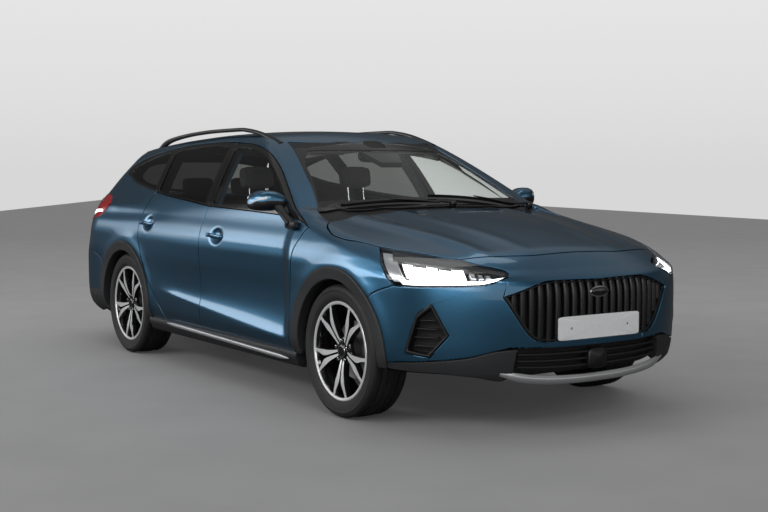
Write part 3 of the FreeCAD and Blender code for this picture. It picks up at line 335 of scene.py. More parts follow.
# A closed profile of (side, up) places carried along a path, square to it, and scaled along the way.
def swept(path, profile, up=(0, 0, 1), scale=None, mark=0):
    path, profile = np.asarray(path, float), np.asarray(profile, float)
    along = unit(np.gradient(path, axis=0))
    side = unit(np.cross(along, np.broadcast_to(np.asarray(up, float), path.shape)))
    top = np.cross(side, along)
    size = np.ones(len(path)) if scale is None else np.asarray(scale, float)
    loops = (path[:, None] + size[:, None, None] * (profile[None, :, :1] * side[:, None]
                                                    + profile[None, :, 1:] * top[:, None]))
    return lofted(loops, mark)


# A rounded box outline: a superellipse with the given half sizes.
def roundLoop(wide, tall, count=24, power=4.0):
    a = np.linspace(0, 2 * np.pi, count, endpoint=False)
    c, s = np.cos(a), np.sin(a)
    return np.stack([wide * np.sign(c) * np.abs(c) ** (2 / power),
                     tall * np.sign(s) * np.abs(s) ** (2 / power)], -1)


# The axes of a pillow that looks ahead, to the side or up: across it, up it and through it.
lookAhead = ((1, 0, 0), (0, 0, 1), (0, 1, 0))
lookAside = ((0, 1, 0), (0, 0, 1), (1, 0, 0))
lookUp = ((1, 0, 0), (0, 1, 0), (0, 0, 1))


# A solid with rounded ends: one outline per station, shrunk near both ends along a quarter circle.
def pillow(centre, axes, sizes, power=4.0, ends=.3, count=24, stations=9, mark=0):
    a, b, c = (np.asarray(v, float) for v in axes)
    t = np.sin(np.linspace(-np.pi / 2, np.pi / 2, stations))
    shrink = (1 - np.abs(t) ** (2 / ends)) ** (ends / 2)
    loop = roundLoop(1, 1, count, power)
    loops = (np.asarray(centre, float) + t[:, None, None] * sizes[2] * c
             + np.maximum(shrink, .02)[:, None, None]
             * (loop[None, :, :1] * sizes[0] * a + loop[None, :, 1:] * sizes[1] * b))
    return lofted(loops, mark)


# A closed profile of (distance along the axle, radius) turned round the axle. The wave adds to the radius.
def turned(profile, centre, count=96, mark=0, wave=None):
    profile = np.asarray(profile, float)
    a = np.linspace(0, 2 * np.pi, count, endpoint=False)
    radius = np.tile(profile[:, 1], (count, 1))
    if wave is not None:
        radius = radius + wave(a[:, None], np.arange(len(profile))[None])
    x = np.tile(profile[:, 0], (count, 1))
    grid = np.stack([x, radius * np.cos(a)[:, None], radius * np.sin(a)[:, None]], -1) + centre
    n, m = count, len(profile)
    i = np.arange(n)
    j = (i + 1) % n
    faces = np.concatenate([quads(n, m, True), np.stack([i * m + m - 1, j * m + m - 1, j * m, i * m], -1)])
    points = grid.reshape(-1, 3)
    p, q, r = (points[faces[:, k]] - np.asarray(centre) for k in range(3))
    if (p * np.cross(q, r)).sum() < 0:
        faces = faces[:, ::-1]
    return points, faces, None, np.full(len(faces), mark)


# A part's mirror image across the car's middle, with its faces turned round to point outwards.
def mirrored(part):
    points, faces, normals, marks = part
    across = np.array([-1, 1, 1])
    return points * across, faces[:, ::-1], None if normals is None else normals * across, marks


# Parts with their mirror images.
def bothSides(parts):
    return parts + [mirrored(p) for p in parts]


bothTurns = (("left", lambda part: part), ("right", mirrored))       # what makes a left or a right part


# A part whose faces all take one material, by its place in the list.
def marked(part, mark):
    return (*part[:3], np.full(len(part[1]), mark))


# One mesh object from parts, each its points, faces, normals and the place of its material in the list.
# A part without normals is shaded from its faces, with edges over 35 degrees left sharp.
def piece(name, parts, body, materials, replaces=()):
    materials = materials if isinstance(materials, list) else [materials]
    mesh = bpy.data.meshes.new(name)
    points, faces, normals, marks, start = [], [], [], [], 0
    for p, f, n, mark in parts:
        points.append(p)
        faces.extend([row[:3] if row[2] == row[3] else row for row in (f + start).tolist()])
        normals.append(np.zeros_like(p) if n is None else n)
        marks.append(np.minimum(mark, len(materials) - 1))
        start += len(p)
    points, normals = np.concatenate(points), np.concatenate(normals)
    mesh.from_pydata(points.tolist(), [], faces)
    for material in materials:
        mesh.materials.append(material)
    mesh.polygons.foreach_set("material_index", np.concatenate(marks).astype(np.int32))
    mesh.polygons.foreach_set("use_smooth", np.full(len(faces), True))
    mesh.validate()
    mesh.set_sharp_from_angle(angle=math.radians(35))
    mesh.update()
    if np.abs(normals).sum() > 0:
        mesh.normals_split_custom_set_from_vertices(normals.tolist())
    thing = bpy.data.objects.new(name, mesh)
    bpy.context.scene.collection.objects.link(thing)
    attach(thing, body)
    if replaces:
        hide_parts(*replaces)
    return thing


# A material with one Principled shader: its base colour and the named inputs are set on it.
def finish(name, base, **values):
    material = bpy.data.materials.new(name)
    material.use_nodes = True
    shader = material.node_tree.nodes["Principled BSDF"]
    shader.inputs["Base Color"].default_value = (*base, 1)
    for key, value in values.items():
        shader.inputs[key.replace("_", " ")].default_value = value
    return material, material.node_tree, shader


# A new node of a kind, with the named settings or input values.
def node(tree, kind, **values):
    made = tree.nodes.new("ShaderNode" + kind)
    for key, value in values.items():
        if hasattr(made, key):
            setattr(made, key, value)
        else:
            made.inputs[key.replace("_", " ")].default_value = value
    return made


# Links from outputs to inputs, given as pairs.
def join(tree, *pairs):
    for source, target in pairs:
        tree.links.new(source, target)


# A colour ramp through (place, colour) stops.
def shadeRamp(tree, *stops):
    shades = node(tree, "ValToRGB")
    marks = shades.color_ramp.elements
    for end, (place, colour) in ((marks[0], stops[0]), (marks[1], stops[-1])):
        end.position, end.color = place, (*colour, 1)
    for place, colour in stops[1:-1]:
        marks.new(place).color = (*colour, 1)
    return shades


# A grey colour of one value.
def grey(value):
    return (value, value, value)


# A pattern on object coordinates: noise of a size, its colours spread between a low and a high one, and
# a bump of the given height from the same noise.
def grain(material, tree, shader, scale, low, high, bump=0.0, stretch=(1, 1, 1), rough=None):
    place, turn = node(tree, "TexCoord"), node(tree, "Mapping", Scale=stretch)
    noise = node(tree, "TexNoise", Scale=scale, Detail=4.0, Roughness=.6)
    shades = shadeRamp(tree, (.3, low), (.7, high))
    join(tree, (place.outputs["Object"], turn.inputs["Vector"]),
         (turn.outputs["Vector"], noise.inputs["Vector"]),
         (noise.outputs["Fac"], shades.inputs["Fac"]), (shades.outputs["Color"], shader.inputs["Base Color"]))
    if rough:
        spread = node(tree, "MapRange", To_Min=rough[0], To_Max=rough[1])
        join(tree, (noise.outputs["Fac"], spread.inputs["Value"]),
             (spread.outputs["Result"], shader.inputs["Roughness"]))
    if bump:
        rise = node(tree, "Bump", Strength=1.0, Distance=bump)
        join(tree, (noise.outputs["Fac"], rise.inputs["Height"]),
             (rise.outputs["Normal"], shader.inputs["Normal"]))
    return material


paintValues = {"base": (.05, .14, .23), "dark": (.042, .15, .265), "light": (.052, .175, .3),
               "flakes": 900.0, "glint": .16, "tilt": .12}


# Metal flake under clear coat: fine cells tilt the base a little, and a slow noise shifts its shade.
def flakePaint():
    material, tree, shader = finish("metallicPaint", paintValues["base"], Metallic=.92, Roughness=.3,
                                    Coat_Weight=1.0, Coat_Roughness=.035, Coat_IOR=1.5)
    place = node(tree, "TexCoord")
    cells = node(tree, "TexVoronoi", Scale=paintValues["flakes"])
    slow = node(tree, "TexNoise", Scale=2.2, Detail=2.0)
    shades = shadeRamp(tree, (0, paintValues["dark"]), (1, paintValues["light"]))
    glint = node(tree, "Mix", data_type="RGBA", blend_type="OVERLAY")
    glint.inputs["Factor"].default_value = paintValues["glint"]
    rise = node(tree, "Bump", Strength=paintValues["tilt"], Distance=.0002)
    join(tree, (place.outputs["Object"], cells.inputs["Vector"]),
         (place.outputs["Object"], slow.inputs["Vector"]),
         (slow.outputs["Fac"], shades.inputs["Fac"]), (shades.outputs["Color"], glint.inputs[6]),
         (cells.outputs["Color"], glint.inputs[7]), (glint.outputs[2], shader.inputs["Base Color"]),
         (cells.outputs["Distance"], rise.inputs["Height"]),
         (rise.outputs["Normal"], shader.inputs["Normal"]))
    return material


# How much a pane mirrors, from facing the view to lying along it
glassMirror = [(0, .04), (.5, .09), (.7, .24), (.85, .5), (1, 1)]


# Thin glass: clear with a tint that a slow noise varies, and a mirror layer that grows towards grazing views.
def glassFinish(name, low, high):
    material, tree, shader = finish(name, low)
    tree.nodes.remove(shader)
    place, slow = node(tree, "TexCoord"), node(tree, "TexNoise", Scale=3.0, Detail=1.0)
    shades = shadeRamp(tree, (0, low), (1, high))
    clear, mirror = node(tree, "BsdfTransparent"), node(tree, "BsdfGlossy", Roughness=.04)
    mirror.inputs["Color"].default_value = (1, 1, 1, 1)
    facing = node(tree, "LayerWeight", Blend=.5)
    edge = shadeRamp(tree, *((at, grey(share)) for at, share in glassMirror))
    both = node(tree, "MixShader")
    join(tree, (facing.outputs["Facing"], edge.inputs["Fac"]),
         (place.outputs["Object"], slow.inputs["Vector"]),
         (slow.outputs["Fac"], shades.inputs["Fac"]), (shades.outputs["Color"], clear.inputs["Color"]),
         (edge.outputs["Color"], both.inputs["Fac"]), (clear.outputs["BSDF"], both.inputs[1]),
         (mirror.outputs["BSDF"], both.inputs[2]),
         (both.outputs["Shader"], tree.nodes["Material Output"].inputs["Surface"]))
    return material


# A finish that shines by itself, with a faint grain.
def glowFinish(name, base, strength):
    made = finish(name, base, Roughness=.25, Emission_Color=(*base, 1), Emission_Strength=strength)
    return grain(*made, 60.0, tuple(.9 * c for c in base), base)


paint = flakePaint()
glossBlack = grain(*finish("glossBlack", (.008, .008, .009), Roughness=.09, Coat_Weight=.5),
                   30, (.007, .007, .008), (.011, .011, .012))
cladding = grain(*finish("grainedCladding", (.022, .023, .025), Roughness=.48, Specular_IOR_Level=.45),
                 420, (.017, .018, .02), (.03, .031, .033), .00025, rough=(.42, .58))
satinBlack = grain(*finish("satinBlack", (.007, .007, .008), Roughness=.35),
                   260, (.005, .005, .006), (.011, .011, .012), .0001, rough=(.3, .42))
deepBlack = grain(*finish("deepBlack", grey(.006), Roughness=.7),
                  200, grey(.004), grey(.009), .0002)
silverTrim = grain(*finish("silverTrim", (.62, .63, .64), Metallic=.75, Roughness=.3),
                   500, (.56, .57, .58), (.68, .69, .7), .00005, rough=(.26, .36))
chrome = grain(*finish("brightChrome", grey(.8), Metallic=1.0, Roughness=.06),
               40, (.76, .77, .78), grey(.86))
machined = grain(*finish("machinedAlloy", (.84, .84, .85), Metallic=.35, Roughness=.3),
                 900, (.8, .81, .82), (.9, .9, .91), .00002, rough=(.18, .3))
rubber = grain(*finish("tyreRubber", (.01, .01, .011), Roughness=.7),
               180, grey(.008), grey(.016), .0002, rough=(.55, .72))
castIron = grain(*finish("coatedIron", (.08, .08, .085), Metallic=.3, Roughness=.55),
                 120, (.05, .05, .052), grey(.12), .0006, rough=(.45, .65))
brakeDisc = grain(*finish("brakeDisc", (.35, .34, .33), Metallic=.9, Roughness=.35),
                  300, (.26, .25, .25), (.42, .41, .4), .0001)
castAlloy = grain(*finish("castAlloy", (.4, .4, .41), Metallic=.7, Roughness=.5),
                  150, (.3, .3, .31), (.48, .48, .49), .0006)
dullSteel = grain(*finish("dullSteel", (.36, .34, .32), Metallic=.85, Roughness=.42),
                  90, (.26, .24, .22), (.46, .45, .43), .0003)
dashSoft = grain(*finish("dashPlastic", (.045, .046, .05), Roughness=.6),
                 500, (.036, .037, .04), (.058, .059, .063), .0003)
seatCloth = grain(*finish("seatCloth", grey(.16), Roughness=.92, Sheen_Weight=.3),
                  1100, grey(.12), grey(.21), .0006, stretch=(1, 1, 1.6))
feltBlack = grain(*finish("feltBlack", grey(.012), Roughness=.95),
                  400, grey(.008), grey(.018), .0008)
carpet = grain(*finish("carpet", (.03, .03, .032), Roughness=.95),
               700, (.018, .018, .019), (.045, .045, .047), .0012)
plateWhite = grain(*finish("plateFace", (.8, .81, .82), Roughness=.3),
                   35, (.77, .78, .79), (.83, .84, .85), .00005)
clearGlass = glassFinish("clearGlass", (.9, .94, .92), (.93, .96, .94))
tintedGlass = glassFinish("tintedGlass", (.17, .175, .17), (.2, .205, .2))
lampGlass = glassFinish("lampCover", (.93, .95, .96), (.97, .98, .98))
redLens = grain(*finish("redLens", (.45, .012, .018), Roughness=.12, Coat_Weight=1.0),
                140, (.36, .008, .014), (.6, .02, .025), .0008)
lampLight = glowFinish("lampLight", grey(1.0), 3.2)
print("stage: finishes made")


# Lines that the panels share, on the left side. A smooth curve runs through the places of each.
lines = {
    "doorFront": [(.88, -.955, .284), (.9, -.957, .367), (.905, -.972, .5), (.908, -.983, .637),
                  (.908, -.996, .789), (.89, -1.035, .87), (.875, -1.072, .925), (.868, -1.092, .945)],
    "doorMiddle": [(.88, .1275, .284), (.9, .1275, .6), (.9, .1275, .85), (.84, .1275, 1.017)],
    "doorRear": [(.88, .64, .284), (.89, .69, .345), (.9, .79, .437), (.905, .88, .53),
                 (.905, .955, .64), (.905, 1.01, .74), (.9, 1.04, .84), (.88, 1.042, .93),
                 (.85, 1.018, 1.03), (.82, .992, 1.1)],
    "beltFront": [(.868, -1.092, .945), (.86, -.98, .972), (.85, -.84, .99), (.845, -.5, 1.002),
                  (.84, .1275, 1.017)],
    "beltRear": [(.84, .1275, 1.017), (.83, .45, 1.043), (.83, .728, 1.071), (.82, .992, 1.1)],
    "quarterLow": [(.82, .992, 1.1), (.79, 1.2, 1.12), (.75, 1.456, 1.15), (.7, 1.62, 1.185),
                   (.68, 1.685, 1.205)],
    "frameTop": [(.868, -1.092, .945), (.86, -.985, 1.005), (.82, -.86, 1.068), (.77, -.72, 1.14),
                 (.7, -.507, 1.254), (.65, -.282, 1.341), (.62, -.06, 1.388), (.61, .1, 1.404),
                 (.6, .3, 1.411), (.6, .55, 1.411), (.6, .87, 1.398), (.6, 1.076, 1.374),
                 (.61, 1.3, 1.337), (.62, 1.5, 1.293), (.64, 1.62, 1.262), (.66, 1.685, 1.238)],
    "screenEdge": [(.75, -.993, 1.021), (.711, -.921, 1.044), (.656, -.776, 1.127), (.614, -.638, 1.202),
                   (.574, -.503, 1.275), (.535, -.365, 1.345), (.515, -.24, 1.392)],
    "screenTop": [(0, -.387, 1.397), (.3, -.345, 1.397), (.515, -.24, 1.392)],
    "roofEdge": [(.515, -.24, 1.392), (.53, -.1, 1.42), (.53, .3, 1.445), (.53, .9, 1.432),
                 (.52, 1.4, 1.395), (.49, 1.735, 1.358)],
    "bonnetSide": [(.617, -2.058, .822), (.66, -2.015, .826), (.726, -1.89, .842), (.82, -1.692, .868),
                   (.848, -1.558, .886), (.872, -1.446, .9), (.876, -1.346, .917), (.85, -1.25, .955),
                   (.8, -1.19, 1.0)],
    "bonnetFront": [(0, -2.172, .841), (.227, -2.171, .835), (.434, -2.126, .831), (.617, -2.058, .822)],
    "bonnetRear": [(0, -1.205, 1.03), (.42, -1.2, 1.02), (.8, -1.19, 1.0)],
    "lampTop": [(.468, -2.227, .764), (.579, -2.121, .804), (.617, -2.058, .822)],
    "lampLow": [(.48, -2.248, .743), (.572, -2.224, .718), (.606, -2.209, .71), (.72, -2.118, .704),
                (.836, -1.965, .698), (.866, -1.878, .7)],
    "lampRear": [(.866, -1.878, .7), (.86, -1.79, .775), (.82, -1.692, .868)],
    "gateSide": [(.56, 2.27, .697), (.64, 2.22, .85), (.655, 2.15, 1.0), (.61, 2.05, 1.17),
                 (.56, 1.96, 1.33)],
    "gateTop": [(0, 1.8, 1.392), (.3, 1.79, 1.382), (.49, 1.735, 1.358)],
    "tailSeam": [(.9, 1.492, .675), (.895, 1.6, .85), (.84, 1.645, .998), (.76, 1.69, 1.12),
                 (.68, 1.685, 1.205)],
    "tailLampTop": [(.84, 1.636, .998), (.8, 1.733, 1.046), (.74, 1.95, 1.043), (.655, 2.13, 1.035)],
    "tailLampLow": [(.84, 1.636, .998), (.87, 1.775, .901), (.8, 2.09, .862), (.64, 2.235, .85)],
    "rearBumperTop": [(.9, 1.619, .548), (.9, 1.76, .64), (.84, 2.06, .685), (.56, 2.27, .69)],
    "lowEdge": [(.301, -2.313, .412), (.472, -2.272, .42), (.539, -2.238, .408), (.65, -2.165, .378),
                (.836, -1.934, .345), (.88, -1.815, .335)],
    "chin": [(.47, -2.27, .27), (.5, -2.22, .262), (.611, -2.165, .285), (.75, -2.03, .3), (.88, -1.81, .3)],
}


# Places mirrored across the car's middle.
def flipX(places):
    return [None if p is None else (-p[0], p[1], p[2]) for p in places]


# A line across the whole car from its left half, which starts on the middle.
def wholeLine(half):
    return flipX(half[::-1]) + half[1:]


# The straight runs between some corners, the last one back to the first corner.
def cornerRuns(corners):
    return [[here, there] for here, there in zip(corners, corners[1:] + corners[:1])]


# Places on a circle round an axle in the side view, from one angle to another, in degrees.
def archLine(axle, radius, first, last, x=.9, count=9):
    angles = np.radians(np.linspace(first, last, count))
    return [(x, form[axle] + radius * math.cos(a), form["axleHeight"] + radius * math.sin(a)) for a in angles]


# Body panels. The shut and lip values are half the gap that an edge keeps.
panelValues = {"shut": .0035, "lip": .002, "doorThick": .055, "bonnetThick": .016, "gateThick": .03}
shut, lip = panelValues["shut"], panelValues["lip"]
wing = skinPanel(archLine("frontAxle", .4, 136, -8),
                 [*lines["lampRear"], None, *lines["bonnetSide"][4:7], (.868, -1.092, .945)],
                 [(.9, -1.708, .614), (.896, -1.754, .655), (.866, -1.878, .7)],
                 [(.88, -1.024, .28), (.88, -.958, .284), None, *lines["doorFront"][1:]],
                 70, 36, (lip, shut, None, shut), depth=.03)
pillarFoot = skinPanel([(.876, -1.346, .917), (.868, -1.092, .945)], [(.8, -1.19, 1.0), (.75, -.993, 1.021)],
                       lines["bonnetSide"][6:], [(.868, -1.092, .945), (.75, -.993, 1.021)], 18, 16,
                       (shut, None, None, lip))
sideRail = patch(lines["frameTop"], lines["screenEdge"] + lines["roofEdge"][1:], 120, 18,
                 (None, None, lip, None))
quarter = skinPanel(archLine("rearAxle", .4, 190, 58),
                    lines["doorRear"] + lines["quarterLow"][1:],
                    [(.88, .886, .266), (.88, .64, .284)],
                    lines["tailSeam"], 90, 30, (None, None, None, shut), depth=.03)
quarterRear = skinPanel(archLine("rearAxle", .4, 58, 32)[:-1] + lines["rearBumperTop"],
                        lines["tailLampLow"],
                        lines["tailSeam"][:3],
                        lines["gateSide"][:2], 60, 24, (None, .004, lip, lip), depth=.03)
tailPillar = skinPanel(lines["tailLampTop"], [(.49, 1.735, 1.358), (.545, 1.9, 1.345)],
                       [*lines["tailSeam"][2:], (.66, 1.685, 1.238), (.49, 1.735, 1.358)],
                       [(.655, 2.13, 1.035), (.61, 2.05, 1.17), (.545, 1.9, 1.345)], 26, 40,
                       (None, .004, lip, None), depth=.03)
roof = skinPanel(wholeLine(lines["screenTop"]),
                 wholeLine(lines["gateTop"]), flipX(lines["roofEdge"]), lines["roofEdge"], 60, 80,
                 (None, None, lip, .004))
piece("wings", bothSides([wing, pillarFoot]), "car", paint, ["front_wings"])
piece("bodySides", bothSides([sideRail, quarter, quarterRear, tailPillar]), "car", paint, ())
piece("roofSkin", [roof], "car", paint, ())

bonnetSkin = skinPanel(wholeLine(lines["bonnetFront"]), wholeLine(lines["bonnetRear"]),
                       flipX(lines["bonnetSide"]), lines["bonnetSide"], 110, 80, (shut,) * 4,
                       thick=panelValues["bonnetThick"])
piece("bonnetPanel", [bonnetSkin], "bonnet", [paint, satinBlack], ["bonnet"])
print("stage: body panels shaped")

# Doors: outer skin and inner trim in one shell, with a black frame and panes above.
doorPlan = {
    "front": {"low": [(.88, -.955, .284), (.88, .1275, .284)], "belt": lines["beltFront"],
              "left": lines["doorFront"], "right": lines["doorMiddle"], "fine": (124, 84)},
    "rear": {"low": [(.88, .1275, .284), (.88, .64, .284)], "belt": lines["beltRear"],
             "left": lines["doorMiddle"], "right": lines["doorRear"], "fine": (104, 84)},
}
middleTop = [(.84, .1275, 1.017), (.74, .165, 1.2), (.61, .222, 1.405)]
topAt = lines["frameTop"]
frontRuns = [lines["beltFront"], middleTop, [(.61, .222, 1.407), *topAt[7::-1]]]
frontHole = [[(.85, -.84, 1.012), (.845, -.5, 1.018), (.84, -.026, 1.026), (.835, .085, 1.033)],
             [(.835, .085, 1.033), (.74, .125, 1.2), (.64, .172, 1.372)],
             [(.64, .172, 1.372), (.635, .05, 1.377), (.64, -.09, 1.36), (.66, -.21, 1.334),
              (.72, -.455, 1.246), (.78, -.66, 1.142), (.85, -.84, 1.012)]]
rearEnd = [(.82, .992, 1.1), (.71, 1.035, 1.24), (.6, 1.076, 1.374)]
rearRuns = [lines["beltRear"], rearEnd, [*topAt[11:7:-1], (.61, .222, 1.407)], middleTop[::-1]]
rearHole = [[(.83, .185, 1.036), (.83, .45, 1.057), (.83, .728, 1.084), (.82, .958, 1.11)],
            [(.82, .958, 1.11), (.72, 1.0, 1.235), (.62, 1.04, 1.348)],
            [(.62, 1.04, 1.348), (.62, .869, 1.368), (.61, .5, 1.383), (.62, .272, 1.38)],
            [(.62, .272, 1.38), (.74, .222, 1.2), (.83, .185, 1.036)]]


# Runs moved out from the middle of all their places by a distance.
def widened(runs, by):
    middle = np.mean([p for run in runs for p in run], axis=0)
    return [[tuple(np.asarray(p) + by * unit(np.asarray(p) - middle)) for p in run] for run in runs]


for end, plan, runs, hole, counts, glass in (
        ("front", doorPlan["front"], frontRuns, frontHole, (40, 16, 60), clearGlass),
        ("rear", doorPlan["rear"], rearRuns, rearHole, (40, 16, 40, 16), tintedGlass)):
    across, tall = plan["fine"]
    shell = skinPanel(plan["low"], plan["belt"], plan["left"], plan["right"], across, tall,
                      (shut, shut, shut, .001), thick=panelValues["doorThick"])
    frameRing = marked(skinRing(runs, hole, counts, 5, (.003, 0.0), -.002, .002, .03), 2)
    wide = widened(hole, .006)
    if end == "front":
        corner = (.8, -.76, 1.09)
        edges = (wide[0], [corner, *wide[2][-2::-1]], [wide[0][0], corner], wide[1], 44)
    else:
        edges = (wide[0], wide[2][::-1], wide[3][::-1], wide[1], 40)
    pane = skinPanel(*edges, 20, (0, 0, 0, 0), -.009, .0005, .003)
    for side, turn in bothTurns:
        body = f"{end}_door_{side}"
        piece(f"{end}DoorShell.{side}", [turn(shell), turn(frameRing)], body, [paint, dashSoft, glossBlack],
              [body])
        piece(f"{end}DoorPane.{side}", [turn(pane)], body, glass, [f"{end}_glass_{side}"])
print("stage: doors made")

# Quarter windows
quarterRuns = [lines["quarterLow"], [(.68, 1.685, 1.205), (.67, 1.69, 1.22), (.66, 1.685, 1.238)],
               topAt[:10:-1], rearEnd[::-1]]
quarterHole = [[(.8, 1.032, 1.118), (.78, 1.2, 1.133), (.75, 1.42, 1.158), (.72, 1.575, 1.19)],
               [(.72, 1.575, 1.19), (.7, 1.6, 1.212), (.68, 1.598, 1.235)],
               [(.68, 1.598, 1.235), (.65, 1.45, 1.277), (.62, 1.3, 1.312), (.62, 1.112, 1.342)],
               [(.62, 1.112, 1.342), (.7, 1.075, 1.24), (.8, 1.032, 1.118)]]
quarterFrame = marked(skinRing(quarterRuns, quarterHole, (30, 6, 30, 12), 4, (.002, 0.0), -.001, .002, .02),
                      1)
wide = widened(quarterHole, .006)
quarterPane = skinPanel(wide[0], wide[2][::-1], wide[3][::-1], wide[1], 30, 12, (0, 0, 0, 0), -.007, .0005,
                        .003)
piece("quarterPanes", bothSides([quarterPane, quarterFrame]), "car", [tintedGlass, glossBlack],
      ["quarter_glass"])

# The windscreen with its black border and the sensor cover
screenLow = [(0, -1.067, 1.034), (.4, -1.05, 1.03), (.75, -.993, 1.021)]
clearLow = [(0, -.975, 1.086), (.38, -.955, 1.083), (.685, -.885, 1.075)]
clearTop = [(0, -.475, 1.35), (.25, -.45, 1.35), (.455, -.395, 1.346)]
clearSide = [(.685, -.885, 1.075), (.622, -.755, 1.135), (.582, -.632, 1.202), (.54, -.5, 1.272),
             (.455, -.395, 1.346)]
side = lines["screenEdge"]
border = skinRing([wholeLine(screenLow), side, wholeLine(lines["screenTop"])[::-1], flipX(side[::-1])],
                  [wholeLine(clearLow), clearSide, wholeLine(clearTop)[::-1], flipX(clearSide[::-1])],
                  (60, 30, 40, 30), 5, (.003, 0.0), -.004, .001, .004)
screenPane = skinPanel(wholeLine([(0, -.99, 1.078), (.38, -.97, 1.075), (.695, -.9, 1.067)]),
                       wholeLine([(0, -.46, 1.358), (.25, -.435, 1.358), (.465, -.38, 1.353)]),
                       [(-.695, -.9, 1.067), *flipX(clearSide[1:-1]), (-.465, -.38, 1.353)],
                       [(.695, -.9, 1.067), *clearSide[1:-1], (.465, -.38, 1.353)], 60, 30,
                       (0, 0, 0, 0), -.0065, .0005, .004)
sensor = patch(wholeLine([(0, -.6, 1.283), (.07, -.6, 1.285)]),
               wholeLine([(0, -.462, 1.357), (.13, -.46, 1.357)]),
               12, 10, lift=-.013, radius=.004, depth=.03)
piece("windscreenGlass", [screenPane], "car", clearGlass, ["windscreen"])
piece("windscreenBorder", [border, sensor], "car", glossBlack, ())
print("stage: glass set")

# The nose
noseTop = skinPanel([(0, -2.342, .727), (.302, -2.315, .726), None, (.519, -2.254, .654)],
                    lines["bonnetFront"],
                    [(0, -2.342, .727), (0, -2.172, .841)],
                    [(.519, -2.254, .654), (.49, -2.245, .735), None, *lines["lampTop"]], 60, 26,
                    (None, lip, lip, shut), depth=.035)
podOut = [(.817, -1.995, .569), (.778, -2.056, .626), (.724, -2.118, .478), (.775, -2.04, .375),
          (.836, -1.934, .391)]
cheek = skinRing([lines["lampLow"][::-1] + [(.519, -2.254, .654)],
                  [(.519, -2.254, .654), (.357, -2.305, .45), (.301, -2.312, .441)],
                  [(.301, -2.312, .441), *lines["lowEdge"][:-1]],
                  [lines["lowEdge"][-2], lines["lowEdge"][-1], None, (.9, -1.8, .46), (.9, -1.785, .5)],
                  [(.9, -1.785, .5), (.9, -1.708, .614), (.896, -1.754, .655), (.866, -1.878, .7)]],
                 cornerRuns(podOut),
                 (44, 22, 30, 14, 16), 16, (lip, .001), radius=.004, depth=.035)
chinBar = patch(wholeLine([(0, -2.345, .41), (.301, -2.312, .412)]),
                wholeLine([(0, -2.345, .443), (.301, -2.312, .441)]), 30, 6, (None, None, lip, lip),
                depth=.035)
piece("noseCover", bothSides([noseTop, cheek]) + [chinBar], "car", paint, ["front_bumper"])

lowerLip = patch(lines["chin"], [(.45, -2.28, .414), *lines["lowEdge"][2:]], 40, 12,
                 (.004, .001, .004, .001), radius=.006, depth=.05)
piece("lowerLip", bothSides([lowerLip]), "car", cladding, ())


# A level line across the nose at a height, on the skin moved out by the lift.
def noseStrip(z, reach, lift):
    x = np.linspace(-reach, reach, 41)
    return toSkin(np.stack([x, np.full(41, -2.33), np.full(41, z)], -1), lift)


intakeValues = {"barHeights": (.312, .345, .378), "bar": (.009, .006), "block": (.06, .05)}
intakeBack = patch(wholeLine([(0, -2.32, .26), (.5, -2.26, .26)]),
                   wholeLine([(0, -2.33, .42), (.47, -2.28, .42)]),
                   30, 8, lift=-.06, radius=.001, depth=.002)
intakeParts = [marked(intakeBack, 1)]
for z in intakeValues["barHeights"]:
    intakeParts.append(swept(noseStrip(z, .462, -.022), roundLoop(*intakeValues["bar"], 14)))
intakeParts.append(pillow((0, -2.318, .345), lookAhead, (*intakeValues["block"], .022)))
piece("lowerIntake", intakeParts, "car", [satinBlack, deepBlack], ())

# The grille: upright ribs between the hexagon's upper and lower edges, on a black back.
grilleValues = {"ribs": 21, "reach": .485, "ribWide": .0135, "ribDeep": .016, "back": .05, "sunk": .014}
backSheet = patch(wholeLine([(0, -2.34, .43), (.54, -2.24, .43)]),
                  wholeLine([(0, -2.33, .74), (.54, -2.22, .74)]),
                  40, 12, lift=-grilleValues["back"], radius=.001, depth=.002)
ribParts = [marked(backSheet, 1)]
for x in np.linspace(-grilleValues["reach"], grilleValues["reach"], grilleValues["ribs"]):
    zTop = np.interp(abs(x), [0, .305, .519], [.735, .733, .665])
    zLow = np.interp(abs(x), [0, .301, .357, .519], [.436, .436, .447, .648])
    z = np.linspace(zLow - .01, zTop + .006, 12)
    line = toSkin(np.stack([np.full(12, x), np.full(12, -2.32), z], -1), -grilleValues["sunk"] - .012)
    ribParts.append(swept(line, roundLoop(grilleValues["ribWide"], grilleValues["ribDeep"], 16, 2.4),
                          (1, 0, 0)))


# The grille's six runs, from one corner at the side down, across, up, and back over the top.
def hexRuns(low, foot, middle, top):
    return [flipX(low), wholeLine([foot, low[-1]]), low[::-1], [low[0], top], wholeLine([middle, top])[::-1],
            flipX([top, low[0]])]


hexOut = hexRuns([(.519, -2.254, .654), (.357, -2.305, .45), (.301, -2.312, .441)], (0, -2.34, .443),
                 (0, -2.34, .727), (.302, -2.315, .726))
hexIn = hexRuns([(.5, -2.262, .654), (.35, -2.305, .462), (.301, -2.312, .452)], (0, -2.34, .454),
                (0, -2.34, .717), (.297, -2.315, .716))
ribParts.append(skinRing(hexOut, hexIn, (20, 30, 20, 12, 30, 12), 4, (.002, 0.0), -.008, .002, .02))
piece("grilleRibs", ribParts, "car", [satinBlack, deepBlack], ["grille"])

badge = {"centre": (0, -2.336, .662), "wide": .06, "tall": .0265}
piece("badgeOval", [pillow(badge["centre"], lookAhead, (badge["wide"], badge["tall"], .007), 2.0, .6, 48, 9,
                           1),
                    pillow(np.add(badge["centre"], (0, -.0045, 0)), lookAhead,
                           (badge["wide"] - .006, badge["tall"] - .006, .005), 2.0, .6, 48, 9, 0)],
      "car", [glossBlack, chrome], ())


